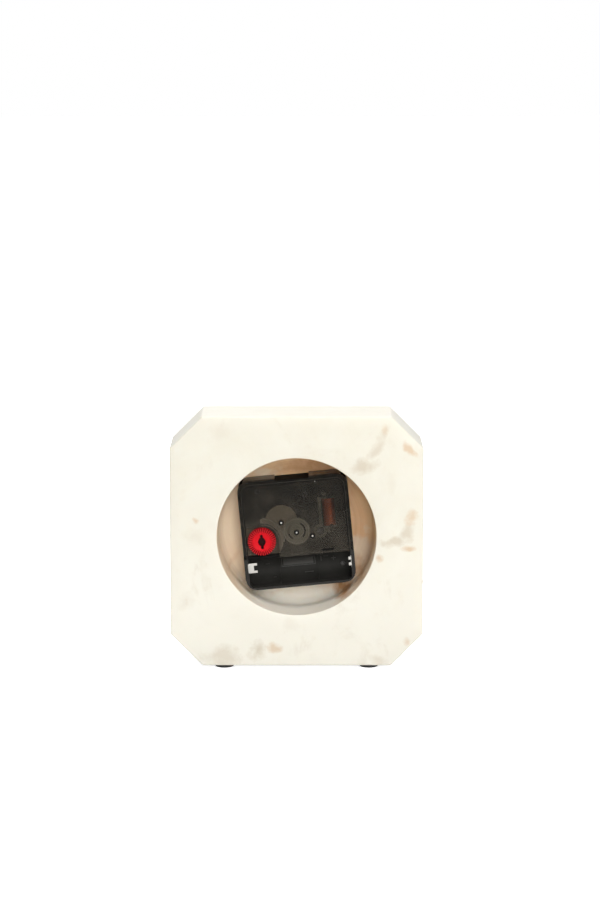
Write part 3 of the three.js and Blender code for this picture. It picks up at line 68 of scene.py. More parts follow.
# The movement is drawn from behind: x to the right, y up, z from the case's front to its back.
FROM_BEHIND = Matrix(((-1, 0, 0, 0), (0, 0, 1, 0), (0, 1, 0, 0), (0, 0, 0, 1)))
MOVEMENT = (Matrix.Translation((AXIS.x, CASE_FRONT_Y, AXIS.z)) @ FROM_BEHIND
            @ Matrix.Rotation(CASE_TILT, 4, "Z") @ Matrix.Scale(MM, 4))

# Block
CHAMFER_LEG = 16 * MM
CORNER_FILLET = 1.3 * MM
HALF_CORNER = radians(22.5)
EDGE_EASE = 0.8 * MM
EDGE_COUNTS = (6, 26)
HOLE_RADIUS = 4.4 * MM
RECESS_RADIUS = 40.013 * MM
RECESS_FLOOR_Y = CASE_FRONT_Y - 1 * MM
RECESS_COVE = 5 * MM
RIM_EASE = 0.5 * MM
EASE_STEPS = 4
SIDE_STEPS = 10
WALL_STEPS = 12
COVE_STEPS = 8

# Refined meshes
WELD_REACH = 0.004 * MM
FLAT_ANGLE = radians(0.6)
SHARP_ANGLE = radians(40)


# Shader building

def add(beside, kind, values=None, **settings):
    """Adds a shader node to the tree of another. Values are numbers, or the sockets that feed its inputs."""
    made = beside.id_data.nodes.new("ShaderNode" + kind)
    for name, value in settings.items():
        setattr(made, name, value)
    for key, value in (values or {}).items():
        if isinstance(value, bpy.types.NodeSocket):
            made.id_data.links.new(value, made.inputs[key])
        else:
            made.inputs[key].default_value = value
    return made


def mottle(where, scale, detail=3.0, roughness=0.55, distortion=0.0):
    values = {"Vector": where, "Scale": scale, "Detail": detail, "Roughness": roughness,
              "Distortion": distortion}
    return add(where, "TexNoise", values).outputs["Fac"]


def mapped(value, low, high, to_low=0.0, to_high=1.0):
    values = {"Value": value, "From Min": low, "From Max": high, "To Min": to_low, "To Max": to_high}
    return add(value, "MapRange", values).outputs["Result"]


def stretched(where, scale, turn=(0, 0, 0)):
    return add(where, "Mapping", {"Vector": where, "Scale": scale, "Rotation": turn}).outputs["Vector"]


def mixed(factor, first, second):
    """Two colours mixed by the factor. Each is red, green and blue, or the socket that carries it."""
    first, second = (part if isinstance(part, bpy.types.NodeSocket) else (*part, 1.0)
                     for part in (first, second))
    return add(factor, "Mix", {0: factor, 6: first, 7: second}, data_type="RGBA").outputs[2]


def worked(operation, first, second):
    """Arithmetic with two numbers."""
    return add(first, "Math", {0: first, 1: second}, operation=operation).outputs[0]


def vector_worked(operation, first, second=(0, 0, 0)):
    """The same for vectors; a length or a dot product comes out as a number."""
    made = add(first, "VectorMath", {0: first, 1: second}, operation=operation)
    return made.outputs["Value" if operation in ("LENGTH", "DOT_PRODUCT") else "Vector"]


def bumped(height, distance, strength):
    values = {"Height": height, "Distance": distance, "Strength": strength}
    return add(height, "Bump", values).outputs["Normal"]


def finish(name, **sockets):
    """A new material, its surface shader and the surface point in the piece's own space, in metres."""
    material = bpy.data.materials.new(name)
    material.use_nodes = True
    surface = material.node_tree.nodes["Principled BSDF"]
    for key, value in sockets.items():
        surface.inputs[key.replace("_", " ")].default_value = value
    return material, surface, add(surface, "TexCoord").outputs["Object"]


def feed(surface, **sources):
    for key, source in sources.items():
        surface.id_data.links.new(source, surface.inputs[key.replace("_", " ")])


def chosen(colour):
    """A colour as given, or the one that the settings hold under that name."""
    return tuple(getattr(bpy.context.scene.clock_finish, colour)) if isinstance(colour, str) else colour


def toned(colour, times, more=0.0):
    return tuple(min(1.0, part * times + more) for part in colour)


def screen_colour(*parts):
    """Red, green and blue as a screen shows them, 0 to 255, turned into light."""
    return tuple(((part / 255 + 0.055) / 1.055) ** 2.4 if part > 10 else part / 3295 for part in parts)


# Patches of the back face: centre and half sizes in mm beside and above the block's foot, turn, strength
GREY_PATCHES = (
    (-43.8, 119.0, 5.5, 1.8, 55, 0.6), (-38.8, 112.0, 7.0, 2.4, 52, 0.8),
    (-32.5, 104.3, 6.5, 3.8, 20, 1.0), (-55.0, 69.8, 5.5, 3.0, 50, 0.85),
    (-48.5, 65.5, 6.0, 2.8, 12, 0.95), (-43.8, 64.8, 3.5, 2.2, 0, 0.7),
    (36.7, 6.5, 10.0, 5.0, 0, 0.6), (20.2, 7.8, 4.4, 4.6, 10, 0.85),
    (-41.0, 4.5, 4.5, 3.4, 15, 0.5), (51.5, 68.6, 5.5, 5.0, 0, 0.3),
    (55.4, 33.5, 3.6, 5.0, 10, 0.3), (3.7, 23.8, 4.0, 4.5, 0, 0.2),
    (-47.2, 94.2, 3.0, 6.0, 10, 0.2), (38.9, 121.0, 4.0, 4.5, 0, 0.25),
    (-63.2, 45.3, 1.1, 1.7, 0, 1.0),
)
RUSTY_PATCHES = (
    (-44.5, 121.0, 2.2, 3.0, 0, 0.5), (-56.9, 112.2, 3.9, 2.0, -58, 1.0),
    (-58.4, 77.0, 3.6, 2.8, 40, 0.85), (-55.5, 62.4, 4.0, 1.8, 5, 1.0),
    (-41.7, 57.0, 2.0, 2.8, 10, 0.9), (49.9, 77.0, 1.8, 1.8, 0, 0.8),
    (12.3, 11.0, 3.4, 2.5, 20, 0.8), (-54.5, 13.2, 1.9, 2.0, 0, 0.6),
)

# Brown streaks of the recess, most of them painted shade where its walls turn from the light, listed in the
# same way
BORE_SHADE_STREAKS = (
    (-37.5, 56.0, 5.0, 9.0, -10, 0.3), (-33.5, 44.5, 10.0, 5.5, -58, 0.75),
    (-25.0, 36.0, 9.0, 4.5, -40, 1.0), (34.0, 49.0, 13.0, 1.1, 52, 0.22),
    (-5.0, 99.0, 13.0, 4.5, 0, 0.75), (-24.0, 95.0, 8.0, 4.0, 40, 0.4),
)


def in_patches(where, frayed, patches, depth=BACK_Y, half_depth=9.0):
    """How strongly each point lies in one of the listed patches; the frayed value breaks up their edges."""
    found = None
    for across, up, half_width, half_height, turn, strength in patches:
        spot = add(where, "Mapping", {
            "Vector": where, "Location": (across * MM, depth, up * MM), "Rotation": (0, radians(turn), 0),
            "Scale": (half_width * MM, half_depth * MM, half_height * MM)},
            vector_type="TEXTURE").outputs["Vector"]
        reach = worked("ADD", vector_worked("LENGTH", spot), frayed)
        mask = mapped(reach, 1.25, 0.35, 0.0, strength)
        found = mask if found is None else worked("MAXIMUM", found, mask)
    return found


def wandering(where, scale, reach):
    """The point moved aside by up to half the reach, so that shapes drawn there grow irregular."""
    noise_colour = add(where, "TexNoise", {"Vector": where, "Scale": scale, "Detail": 3.0}).outputs["Color"]
    aside = vector_worked("SUBTRACT", noise_colour, (0.5, 0.5, 0.5))
    return vector_worked("ADD", where, vector_worked("MULTIPLY", aside, (reach, reach, reach)))


def along_bore(where):
    """A coordinate that grows down the recess's wall and in over its floor, and one across the recess."""
    offset = vector_worked("SUBTRACT", where, (AXIS.x, 0, AXIS.z))
    radius = vector_worked("LENGTH", vector_worked("MULTIPLY", offset, (1, 0, 1)))
    depth = add(where, "SeparateXYZ", {"Vector": where}).outputs["Y"]
    toward = vector_worked("DOT_PRODUCT", offset, (-14, 0, 23))
    return worked("ADD", radius, worked("MULTIPLY", depth, 0.35)), toward


def marble_finish():
    """Cream stone with soft clouds, grey and rusty patches; matt and ring-marked in the recess, where painted
    shade browns its top and right and painted light pales its foot.
    """
    settings = bpy.context.scene.clock_finish
    material, surface, where = finish(
        "cream_marble", IOR=1.49, Subsurface_Weight=0.1, Subsurface_Radius=(1.0, 0.66, 0.4),
        Subsurface_Scale=0.004, Coat_Weight=0.1, Coat_Roughness=0.15)
    cloud = mottle(where, 26.0, 5.0, 0.6, 0.4)
    fleck = mottle(where, 110.0, 4.0, 0.6)
    warp = mottle(where, 75.0, 6.0, 0.65, 0.5)
    slanted = stretched(where, (1, 1, 0.5), (0, radians(35), 0))
    crease = worked("ABSOLUTE", worked("SUBTRACT", mottle(slanted, 19.0, 7.0, 0.6, 0.9), 0.5), 0.0)
    strands = worked("MULTIPLY", mapped(crease, 0.03, 0.0), mapped(warp, 0.5, 0.72))
    drawn = wandering(wandering(where, 55.0, 0.009), 210.0, 0.003)
    frayed = mapped(mottle(where, 160.0, 5.0, 0.65), 0.3, 0.7, -0.4, 0.4)
    grey = in_patches(drawn, frayed, GREY_PATCHES)
    rusty = in_patches(drawn, frayed, RUSTY_PATCHES)
    specks = worked("MULTIPLY", mapped(mottle(where, 130.0, 4.0, 0.6), 0.62, 0.74),
                    worked("ADD", worked("MULTIPLY", grey, 0.6), 0.1))
    colour = mixed(mapped(cloud, 0.35, 0.7), settings.marble, settings.marble_shade)
    height = add(where, "SeparateXYZ", {"Vector": where}).outputs["Z"]
    colour = mixed(mapped(height, 0.085, 0.0, 0.0, 0.75), colour, settings.marble_foot)
    colour = mixed(mapped(fleck, 0.6, 0.8, 0.0, 0.1), colour, settings.vein)
    colour = mixed(worked("MULTIPLY", strands, 0.35), colour, settings.vein)
    colour = mixed(grey, colour, settings.vein)
    colour = mixed(worked("MAXIMUM", rusty, specks), colour, settings.rust)
    inside = add(where, "Attribute", attribute_name="recess").outputs["Fac"]
    bore, toward = along_bore(where)
    # Painted shade in the bored stone: full at the recess's top and right, and least at its foot, which is
    # painted pale as painted light.
    toward = worked("ADD", toward, mapped(warp, 0.3, 0.7, -0.25, 0.25))
    height = worked("ADD", height, mapped(warp, 0.3, 0.7, -0.005, 0.005))
    darkening = worked("MAXIMUM", mapped(toward, -0.05, 0.45),
                   mapped(height, AXIS.z - 0.037, AXIS.z - 0.024, 0.05, 0.62))
    marks = add(where, "CombineXYZ", {"X": bore, "Y": worked("MULTIPLY", toward, 0.001)}).outputs["Vector"]
    rings = mottle(marks, 300.0, 3.0, 0.6)
    # The recess's colours: painted shade in the browns, painted light in the pale, with real ring marks
    # between.
    bore_painted_shading = mixed(mapped(mottle(where, 48.0, 4.0), 0.3, 0.7), settings.bore_painted_shading, settings.bore_painted_deep_shade)
    bore_painted_shading = mixed(mapped(rings, 0.45, 0.66, 0.0, 0.4), bore_painted_shading, settings.ring_and_shade_mark)
    bore_painted_shading = mixed(darkening, settings.bore_painted_light, bore_painted_shading)
    # Painted shade: brown streaks where the recess's walls turn from the light.
    shade_streaks = in_patches(drawn, frayed, BORE_SHADE_STREAKS, RECESS_FLOOR_Y + 8 * MM, 20)
    bore_painted_shading = mixed(shade_streaks, bore_painted_shading, settings.ring_and_shade_mark)
    colour = mixed(mapped(inside, 0.0, 0.12), colour, bore_painted_shading)
    rough = worked("ADD", mapped(cloud, 0.3, 0.8, 0.29, 0.34), worked("MULTIPLY", inside, 0.3))
    grain = mottle(where, 700.0, 3.0, 0.65)
    relief = worked("ADD", worked("MULTIPLY", grain, 0.006), worked("MULTIPLY", rings, inside))
    feed(surface, Base_Color=colour, Roughness=rough, Normal=bumped(relief, 0.00012, 0.5))
    return material


def moulded_finish(name, colour, grain_scale, rough, specular=0.5, painted_shading=False):
    """Moulded plastic: a fine eroded grain, faint flow clouds, dust, and, where it is ribbed, painted
    highlights on the crests and painted shade in the hollows.
    """
    colour = chosen(colour)
    material, surface, where = finish(name, Specular_IOR_Level=specular)
    cloud = mottle(where, 90.0, 4.0)
    grain = mottle(where, grain_scale, 2.0, 0.5)
    dust = mottle(where, 420.0, 5.0, 0.7)
    shade = mixed(mapped(cloud, 0.3, 0.75), colour, toned(colour, 1.35, 0.003))
    shade = mixed(mapped(dust, 0.6, 0.85, 0.0, 0.2), shade, toned(colour, 1.8, 0.01))
    if painted_shading:
        hollow = add(where, "Attribute", attribute_name="hollow").outputs["Fac"]
        # Painted highlight where the value is below 0, painted shade where it is above.
        shade = mixed(mapped(hollow, 0.0, -1.0), shade, toned(colour, 2.2, 0.06))
        shade = mixed(mapped(hollow, 0.0, 1.0), shade, toned(colour, 0.04))
    feed(surface, Base_Color=shade, Roughness=mapped(cloud, 0.25, 0.8, rough - 0.07, rough + 0.1),
         Normal=bumped(grain, 0.000005, 0.5))
    return material


def smoked_finish():
    """Smoked clear plastic: its two faces each let half of the light through; a painted sheen makes its haze
    paler towards its bottom.
    """
    settings = bpy.context.scene.clock_finish
    material, surface, where = finish("smoked_cover", Alpha=settings.cover_opacity, IOR=1.5,
                                      Specular_IOR_Level=0.06)
    haze = mottle(where, 120.0, 5.0, 0.6)
    dust = mottle(where, 1500.0, 2.0, 0.6)
    height = add(where, "SeparateXYZ", {"Vector": where}).outputs["Z"]
    # Painted sheen: the haze is darker towards the top and paler towards the bottom.
    painted_lower_sheen = mapped(height, AXIS.z + 0.015, AXIS.z - 0.013, -0.3, 0.75)
    veil = worked("ADD", mapped(haze, 0.35, 0.7), painted_lower_sheen)
    colour = mixed(mapped(veil, 0.0, 1.4), settings.cover, settings.cover_haze_and_sheen)
    colour = mixed(mapped(dust, 0.7, 0.82, 0.0, 0.4), colour, (0.09, 0.085, 0.07))
    feed(surface, Base_Color=colour, Roughness=mapped(haze, 0.3, 0.75, 0.3, 0.42),
         Normal=bumped(haze, 0.00004, 0.25))
    return material


def metal_finish(name, colour, rough, stretch, scale, tarnish=0.25):
    """Metal with drawn or turned scratches; the stretch shortens the grain across the brushing."""
    colour = chosen(colour)
    material, surface, where = finish(name, Metallic=1.0, Anisotropic=0.4)
    brushed = mottle(stretched(where, stretch), scale, 4.0, 0.6)
    darkening = mottle(where, 140.0, 4.0, 0.6)
    shade = mixed(mapped(darkening, 0.35, 0.75), colour, toned(colour, 1 - tarnish))
    shade = mixed(mapped(brushed, 0.3, 0.75, 0.0, 0.15), shade, toned(colour, 0.6))
    feed(surface, Base_Color=shade, Roughness=mapped(brushed, 0.25, 0.8, rough - 0.06, rough + 0.14),
         Normal=bumped(brushed, 0.00002, 0.5))
    return material


def nylon_finish(name, colour, rough=0.42):
    colour = chosen(colour)
    material, surface, where = finish(name, Subsurface_Weight=0.15, Subsurface_Radius=(1.0, 0.8, 0.5),
                                      Subsurface_Scale=0.0008)
    flow = mottle(where, 220.0, 4.0)
    grain = mottle(where, 2600.0, 2.0)
    shade = mixed(mapped(flow, 0.3, 0.75), colour, toned(colour, 0.86))
    feed(surface, Base_Color=shade, Roughness=mapped(grain, 0.3, 0.7, rough - 0.06, rough + 0.1),
         Normal=bumped(grain, 0.00001, 0.5))
    return material


def board_finish():
    """Brown laminate with copper tracks under its lacquer."""
    material, surface, where = finish("brown_laminate", Coat_Weight=0.1, Coat_Roughness=0.3)
    flat = stretched(where, (1, 1, 1), (radians(90), 0, 0))
    tracks = add(where, "TexBrick", {"Vector": flat, "Scale": 260.0, "Mortar Size": 0.02, "Bias": 0.0,
                                    "Brick Width": 0.9, "Row Height": 0.32}).outputs["Fac"]
    cloud = mottle(where, 300.0, 3.0)
    shade = mixed(mapped(cloud, 0.3, 0.7), (0.26, 0.2, 0.08), (0.33, 0.27, 0.11))
    shade = mixed(worked("MULTIPLY", tracks, 0.6), shade, (0.5, 0.3, 0.13))
    feed(surface, Base_Color=shade, Roughness=mapped(cloud, 0.3, 0.7, 0.3, 0.42),
         Normal=bumped(tracks, 0.00003, 0.6))
    return material


FINISHES = {}


def finish_for(key):
    """The shared material of that name, made when it is first asked for."""
    if key not in FINISHES:
        maker, *values = FINISH_MAKERS[key]
        FINISHES[key] = maker(*values)
    return FINISHES[key]


# What makes each finish, and the values that it is given. A word in a colour's place names a setting.
FINISH_MAKERS = {
    "marble": (marble_finish,),
    "smoked_plastic": (smoked_finish,),
    "black_plastic": (moulded_finish, "black_moulding", "case", 1700.0, 0.3, 0.25),
    # Paler than the case: painted light on the bay's raised marks.
    "raised_black": (moulded_finish, "raised_black_moulding", (0.035, 0.034, 0.031), 1300.0, 0.32),
    "dull_black": (moulded_finish, "dull_black_moulding", (0.006, 0.006, 0.006), 900.0, 0.8, 0.05),
    "matt_black": (moulded_finish, "matt_black_moulding", (0.0225, 0.022, 0.02), 1200.0, 0.5, 0.08),
    # A paler black for the painted highlight along the cover's edge.
    "painted_edge_highlight": (moulded_finish, "worn_cover_edge", (0.034, 0.033, 0.028), 1500.0, 0.45, 0.1),
    "red_plastic": (moulded_finish, "red_moulding", "knob", 1200.0, 0.4, 0.1, True),
    "rubber": (moulded_finish, "black_rubber", (0.012, 0.012, 0.012), 800.0, 0.75),
    "resin": (moulded_finish, "black_resin", (0.01, 0.01, 0.011), 400.0, 0.2),
    "brass": (metal_finish, "brushed_brass", "brass", 0.26, (1, 1, 0.06), 900.0),
    "steel": (metal_finish, "stamped_steel", (0.62, 0.61, 0.58), 0.3, (0.08, 1, 1), 1100.0),
    "dark_steel": (metal_finish, "oxidised_steel", (0.26, 0.24, 0.18), 0.5, (0.08, 1, 1), 1100.0),
    "magnet": (metal_finish, "sintered_magnet", (0.2, 0.19, 0.19), 0.5, (1, 1, 1), 1600.0),
    "copper": (metal_finish, "enamelled_copper", "copper", 0.3, (1, 1, 1), 1500.0, 0.35),
    "beige_nylon": (nylon_finish, "beige_nylon", "wheel"),
    "pale_nylon": (nylon_finish, "pale_nylon", (0.6, 0.54, 0.38)),
    "dark_nylon": (nylon_finish, "dark_nylon", (0.11, 0.095, 0.075)),
    "white_plastic": (nylon_finish, "white_nylon", (0.8, 0.72, 0.53)),
    "dull_former": (nylon_finish, "dull_former", (0.3, 0.28, 0.21)),
    "board": (board_finish,),
}


# Mesh building

def linked(name, data):
    """A new object of the scene that shows the data."""
    item = bpy.data.objects.new(name, data)
    bpy.context.scene.collection.objects.link(item)
    return item


def new_piece(name, points, faces, key, smooth_angle):
    """A closed body from points in metres, shaded smooth but for its edges sharper than the angle."""
    mesh = bpy.data.meshes.new(name)
    mesh.from_pydata(points, [], faces)
    mesh.validate()
    mesh.update()
    piece = linked(name, mesh)
    mesh.materials.append(finish_for(key))
    shade_by_angle(mesh, smooth_angle)
    face_outwards(mesh)
    return piece


def shade_by_angle(mesh, degrees):
    mesh.shade_smooth()
    if degrees < 180:
        mesh.set_sharp_from_angle(angle=radians(degrees))


def face_outwards(mesh):
    made = bmesh.new()
    made.from_mesh(mesh)
    bmesh.ops.recalc_face_normals(made, faces=made.faces)
    made.to_mesh(mesh)
    made.free()


def ring_faces(first, second, count):
    """The quads between two rings of points that start at those indices."""
    return [(first + step, first + (step + 1) % count, second + (step + 1) % count, second + step)
            for step in range(count)]


def turns(count):
    """That many angles, evenly round."""
    return [tau * step / count for step in range(count)]


def turned_mesh(profile, sides, place):
    """A closed turned body: the profile is (radius, height) pairs that start and end at radius 0."""
    points = [place((0.0, 0.0, profile[0][1]))]
    rings = []
    for radius, height in profile[1:-1]:
        rings.append(len(points))
        points += [place((radius * cos(turn), radius * sin(turn), height)) for turn in turns(sides)]
    last = len(points)
    points.append(place((0.0, 0.0, profile[-1][1])))
    faces = [(0, rings[0] + (step + 1) % sides, rings[0] + step) for step in range(sides)]
    for low, high in zip(rings, rings[1:]):
        faces += ring_faces(low, high, sides)
    faces += [(last, rings[-1] + step, rings[-1] + (step + 1) % sides) for step in range(sides)]
    return points, faces


def skin(rings, closed=False):
    """A body over rings of as many points each; one that isn't closed in itself gets a cap at each end."""
    size = len(rings[0])
    points = [point for ring in rings for point in ring]
    faces = []
    for index in range(len(rings) - (not closed)):
        faces += ring_faces(index * size, (index + 1) % len(rings) * size, size)
    if not closed:
        faces += [tuple(range(size)), tuple(reversed(range(len(points) - size, len(points))))]
    return points, faces


def detail(name, parts, key, body="root", slot=None):
    """One riding piece from several closed parts, each a list of points in metres and a list of faces."""
    points, faces = [], []
    for some_points, some_faces in parts:
        start = len(points)
        points += some_points
        faces += [tuple(start + index for index in face) for face in some_faces]
    piece = new_piece(name, points, faces, key, 35)
    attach(piece, body)


def in_movement(across, up, level):
    """A point of the movement, drawn from behind in mm, as a point of the scene."""
    return MOVEMENT @ Vector((across, up, level))


def arc_band(centre, inner, outer, low, high, start=0.0, end=360.0, steps=72):
    """A flat band with eased top edges, as a whole ring or as part of one, round a point of the movement."""
    ease = min(0.1, (outer - inner) / 3, (high - low) / 2)
    section = ((inner, low), (inner, high - ease), (inner + ease, high),
               (outer - ease, high), (outer, high - ease), (outer, low))
    whole = end - start >= 360
    rings = []
    for step in range(steps if whole else steps + 1):
        turn = radians(start + (end - start) * step / steps)
        rings.append([in_movement(centre[0] + radius * cos(turn), centre[1] + radius * sin(turn), level)
                      for radius, level in section])
    return skin(rings, whole)


def stud(centre, profile, sides=32):
    """A turned stud round a point of the movement: (radius, level) pairs from its top to its foot."""
    return turned_mesh(profile, sides, lambda p: in_movement(centre[0] + p[0], centre[1] + p[1], p[2]))


def bar(low, high, ease=0.02):
    """A bar with eased upper edges between two corners in the movement's mm."""
    return skin([[in_movement(x, y, level) for x, y in (
        (low[0] + inset, low[1] + inset), (high[0] - inset, low[1] + inset),
        (high[0] - inset, high[1] - inset), (low[0] + inset, high[1] - inset))]
        for inset, level in ((0.0, low[2]), (0.0, high[2] - ease), (ease, high[2]))])


def refine(name, key, width, segments=2):
    """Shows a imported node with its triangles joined, its flat faces whole and its edges rounded."""
    node = frame["nodes"][name]
    node.data.materials.clear()
    node.data.materials.append(finish_for(key))
    custom = node.data.attributes.get("custom_normal")
    if custom:
        node.data.attributes.remove(custom)
    node.data.shade_smooth()
    joined = node.modifiers.new("Join the faces", "WELD")
    joined.merge_threshold = WELD_REACH
    flat = node.modifiers.new("Whole flat faces", "DECIMATE")
    flat.decimate_type = "DISSOLVE"
    flat.angle_limit = FLAT_ANGLE
    if width:
        rounded = node.modifiers.new("Rounded edges", "BEVEL")
        rounded.width = width * MM
        rounded.segments = segments
        rounded.limit_method = "ANGLE"
        rounded.angle_limit = SHARP_ANGLE
        rounded.miter_outer = "MITER_ARC"
    weighted = node.modifiers.new("Even shading", "WEIGHTED_NORMAL")
    weighted.keep_sharp = True
    weighted.weight = 80


# Marble block

def block_outline(inset):
    """The block's outline, seen from behind and inset, with a point every few mm and rounded corners."""
    half_width = (BLOCK_HIGH.x - BLOCK_LOW.x) / 2 - inset
    half_height = (BLOCK_HIGH.z - BLOCK_LOW.z) / 2 - inset
    leg = CHAMFER_LEG - inset * (2 - sqrt(2))
    fillet = CORNER_FILLET - inset
    corners = []
    for x_side, z_side in ((1, 1), (-1, 1), (-1, -1), (1, -1)):
        near = [Vector((x_side * half_width, z_side * (half_height - leg))),
                Vector((x_side * (half_width - leg), z_side * half_height))]
        corners += near if x_side * z_side > 0 else near[::-1]
    points = []
    for index, corner in enumerate(corners):
        before, after = corners[index - 1], corners[(index + 1) % len(corners)]
        to_before, to_after = (before - corner).normalized(), (after - corner).normalized()
        trim = fillet * tan(HALF_CORNER)
        centre = corner + (to_before + to_after).normalized() * fillet / cos(HALF_CORNER)
        start, end = corner + to_before * trim, corner + to_after * trim
        for step in range(5):
            along = (start - centre).lerp(end - centre, step / 4)
            points.append(centre + along.normalized() * fillet)
        run = (after - corner).length - 2 * trim
        steps = EDGE_COUNTS[index % 2]
        points += [end + to_after * run * step / steps for step in range(1, steps)]
    middle = Vector(((BLOCK_HIGH.x + BLOCK_LOW.x) / 2, (BLOCK_HIGH.z + BLOCK_LOW.z) / 2))
    return [point + middle for point in points]


def block_rings():
    """Rings of points from the dial side's hole, round the outside and back through the recess."""
    outline = [block_outline(EDGE_EASE * (1 - cos(turn))) for turn in (
        pi / 2 * step / EASE_STEPS for step in range(EASE_STEPS, -1, -1))]
    bearings = [atan2(point.y - AXIS.z, point.x - AXIS.x) for point in outline[0]]

    def circle(radius, depth):
        return [Vector((AXIS.x + radius * cos(turn), depth, AXIS.z + radius * sin(turn)))
                for turn in bearings]

    def level(flat, depth):
        return [Vector((point.x, depth, point.y)) for point in flat]

    radius = RECESS_RADIUS
    rings = [(circle(HOLE_RADIUS, DIAL_Y + 0.3 * MM), 0.0), (circle(HOLE_RADIUS + 0.3 * MM, DIAL_Y), 0.0)]
    inner = rings[-1][0]
    edge = level(outline[0], DIAL_Y)
    rings += [([a.lerp(b, share) for a, b in zip(inner, edge)], 0.0) for share in (0.25, 0.5, 0.75)]
    for step, flat in enumerate(outline):
        rings.append((level(flat, DIAL_Y + EDGE_EASE * (1 - cos(pi / 2 * step / EASE_STEPS))), 0.0))
    deep = BACK_Y - DIAL_Y - 2 * EDGE_EASE
    for step in range(1, SIDE_STEPS):
        rings.append((level(outline[-1], DIAL_Y + EDGE_EASE + deep * step / SIDE_STEPS), 0.0))
    for step, flat in enumerate(reversed(outline)):
        rings.append((level(flat, BACK_Y - EDGE_EASE * (1 - sin(pi / 2 * step / EASE_STEPS))), 0.0))
    back_edge = level(outline[0], BACK_Y)
    rim = circle(radius + RIM_EASE, BACK_Y)
    rings += [([a.lerp(b, share) for a, b in zip(back_edge, rim)], 0.0) for share in (0.25, 0.5, 0.75, 1.0)]
    for step in range(1, 4):
        turn = pi / 2 * step / 3
        rings.append((circle(radius + RIM_EASE * (1 - sin(turn)), BACK_Y - RIM_EASE * (1 - cos(turn))),
                      0.02 * step))
    wall_top, wall_foot = BACK_Y - RIM_EASE, RECESS_FLOOR_Y + RECESS_COVE
    for step in range(1, WALL_STEPS + 1):
        share = step / WALL_STEPS
        rings.append((circle(radius, wall_top + (wall_foot - wall_top) * share), 0.06 + 0.74 * share ** 0.8))
    for step in range(1, COVE_STEPS + 1):
        turn = pi / 2 * step / COVE_STEPS
        rings.append((circle(radius - RECESS_COVE * (1 - cos(turn)),
                             wall_foot - RECESS_COVE * sin(turn)), 0.8 + 0.2 * step / COVE_STEPS))
    rings += [(circle((radius - RECESS_COVE) * (1 - share) + HOLE_RADIUS * share, RECESS_FLOOR_Y), 1.0)
              for share in (0.3, 0.6, 0.85, 1.0)]
    rings.append((circle(HOLE_RADIUS, (RECESS_FLOOR_Y + DIAL_Y) / 2), 0.5))
    return rings


def build_block():
    rings = block_rings()
    points, faces = skin([ring for ring, _ in rings], closed=True)
    block = new_piece("marble_block", points, faces, "marble", 180)
    depth = block.data.attributes.new("recess", "FLOAT", "POINT")
    depth.data.foreach_set("value", [share for ring, share in rings for _ in ring])
    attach(block, "root")
    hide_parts("marble_body")


# Turned feet

def build_feet():
    for side in ("front_left", "front_right", "rear_left", "rear_right"):
        node = "foot_" + side
        low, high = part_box(node)
        centre = (low + high) / 2
        radius = (high.x - low.x) / 2 / MM
        tall = (high.z - low.z) / MM
        profile = [(0, 0.12), (1.2, 0.12), (1.35, 0.02), (1.6, 0.0), (radius - 1.5, 0.0),
                   (radius - 1.3, 0.12), (radius - 1.1, 0.12), (radius - 0.9, 0.0), (radius - 0.45, 0.0),
                   (radius - 0.14, 0.12), (radius, 0.4), (radius - 0.02, tall - 0.35),
                   (radius - 0.12, tall - 0.08), (radius - 0.4, tall), (0, tall)]
        points, faces = turned_mesh(profile, 64, lambda p, c=centre, z=low.z: Vector(
            (c.x + p[0] * MM, c.y + p[1] * MM, z + p[2] * MM)))
        pad = new_piece("pad_" + side, points, faces, "rubber", 50)
        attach(pad, "root")
        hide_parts(node)


# Setting knob

KNOB_RADIUS = 7.2
KNOB_TOP = 15.3
KNOB_UNDER = 12.0
KNOB_RIBS = 36
KNOB_COLUMNS = KNOB_RIBS * 10
RIB_START = 4.5
RIB_DEPTH = 0.9
SLOT_DEPTH = 2.6
SLOT_HALF_WIDTH = 1.85
SLOT_HALF_HEIGHT = 2.5
SLOT_POWER = 1.6
SLOT_END_UP = 2.95
SLOT_END_RADIUS = 0.74


def slot_reach(turn):
    """The slot's outline round the knob's centre: an eye with a small round at each end, in mm."""
    across, up = abs(cos(turn)), abs(sin(turn))
    eye = ((across / SLOT_HALF_WIDTH) ** SLOT_POWER
           + (up / SLOT_HALF_HEIGHT) ** SLOT_POWER) ** (-1 / SLOT_POWER)
    off = SLOT_END_UP * across
    if off < SLOT_END_RADIUS:
        eye = max(eye, SLOT_END_UP * up + sqrt(SLOT_END_RADIUS ** 2 - off ** 2))
    return eye


def groove(turn):
    """0 on the top of a rib, 1 at the foot of the groove beside it."""
    return (0.5 - 0.5 * cos(KNOB_RIBS * turn)) ** 0.8


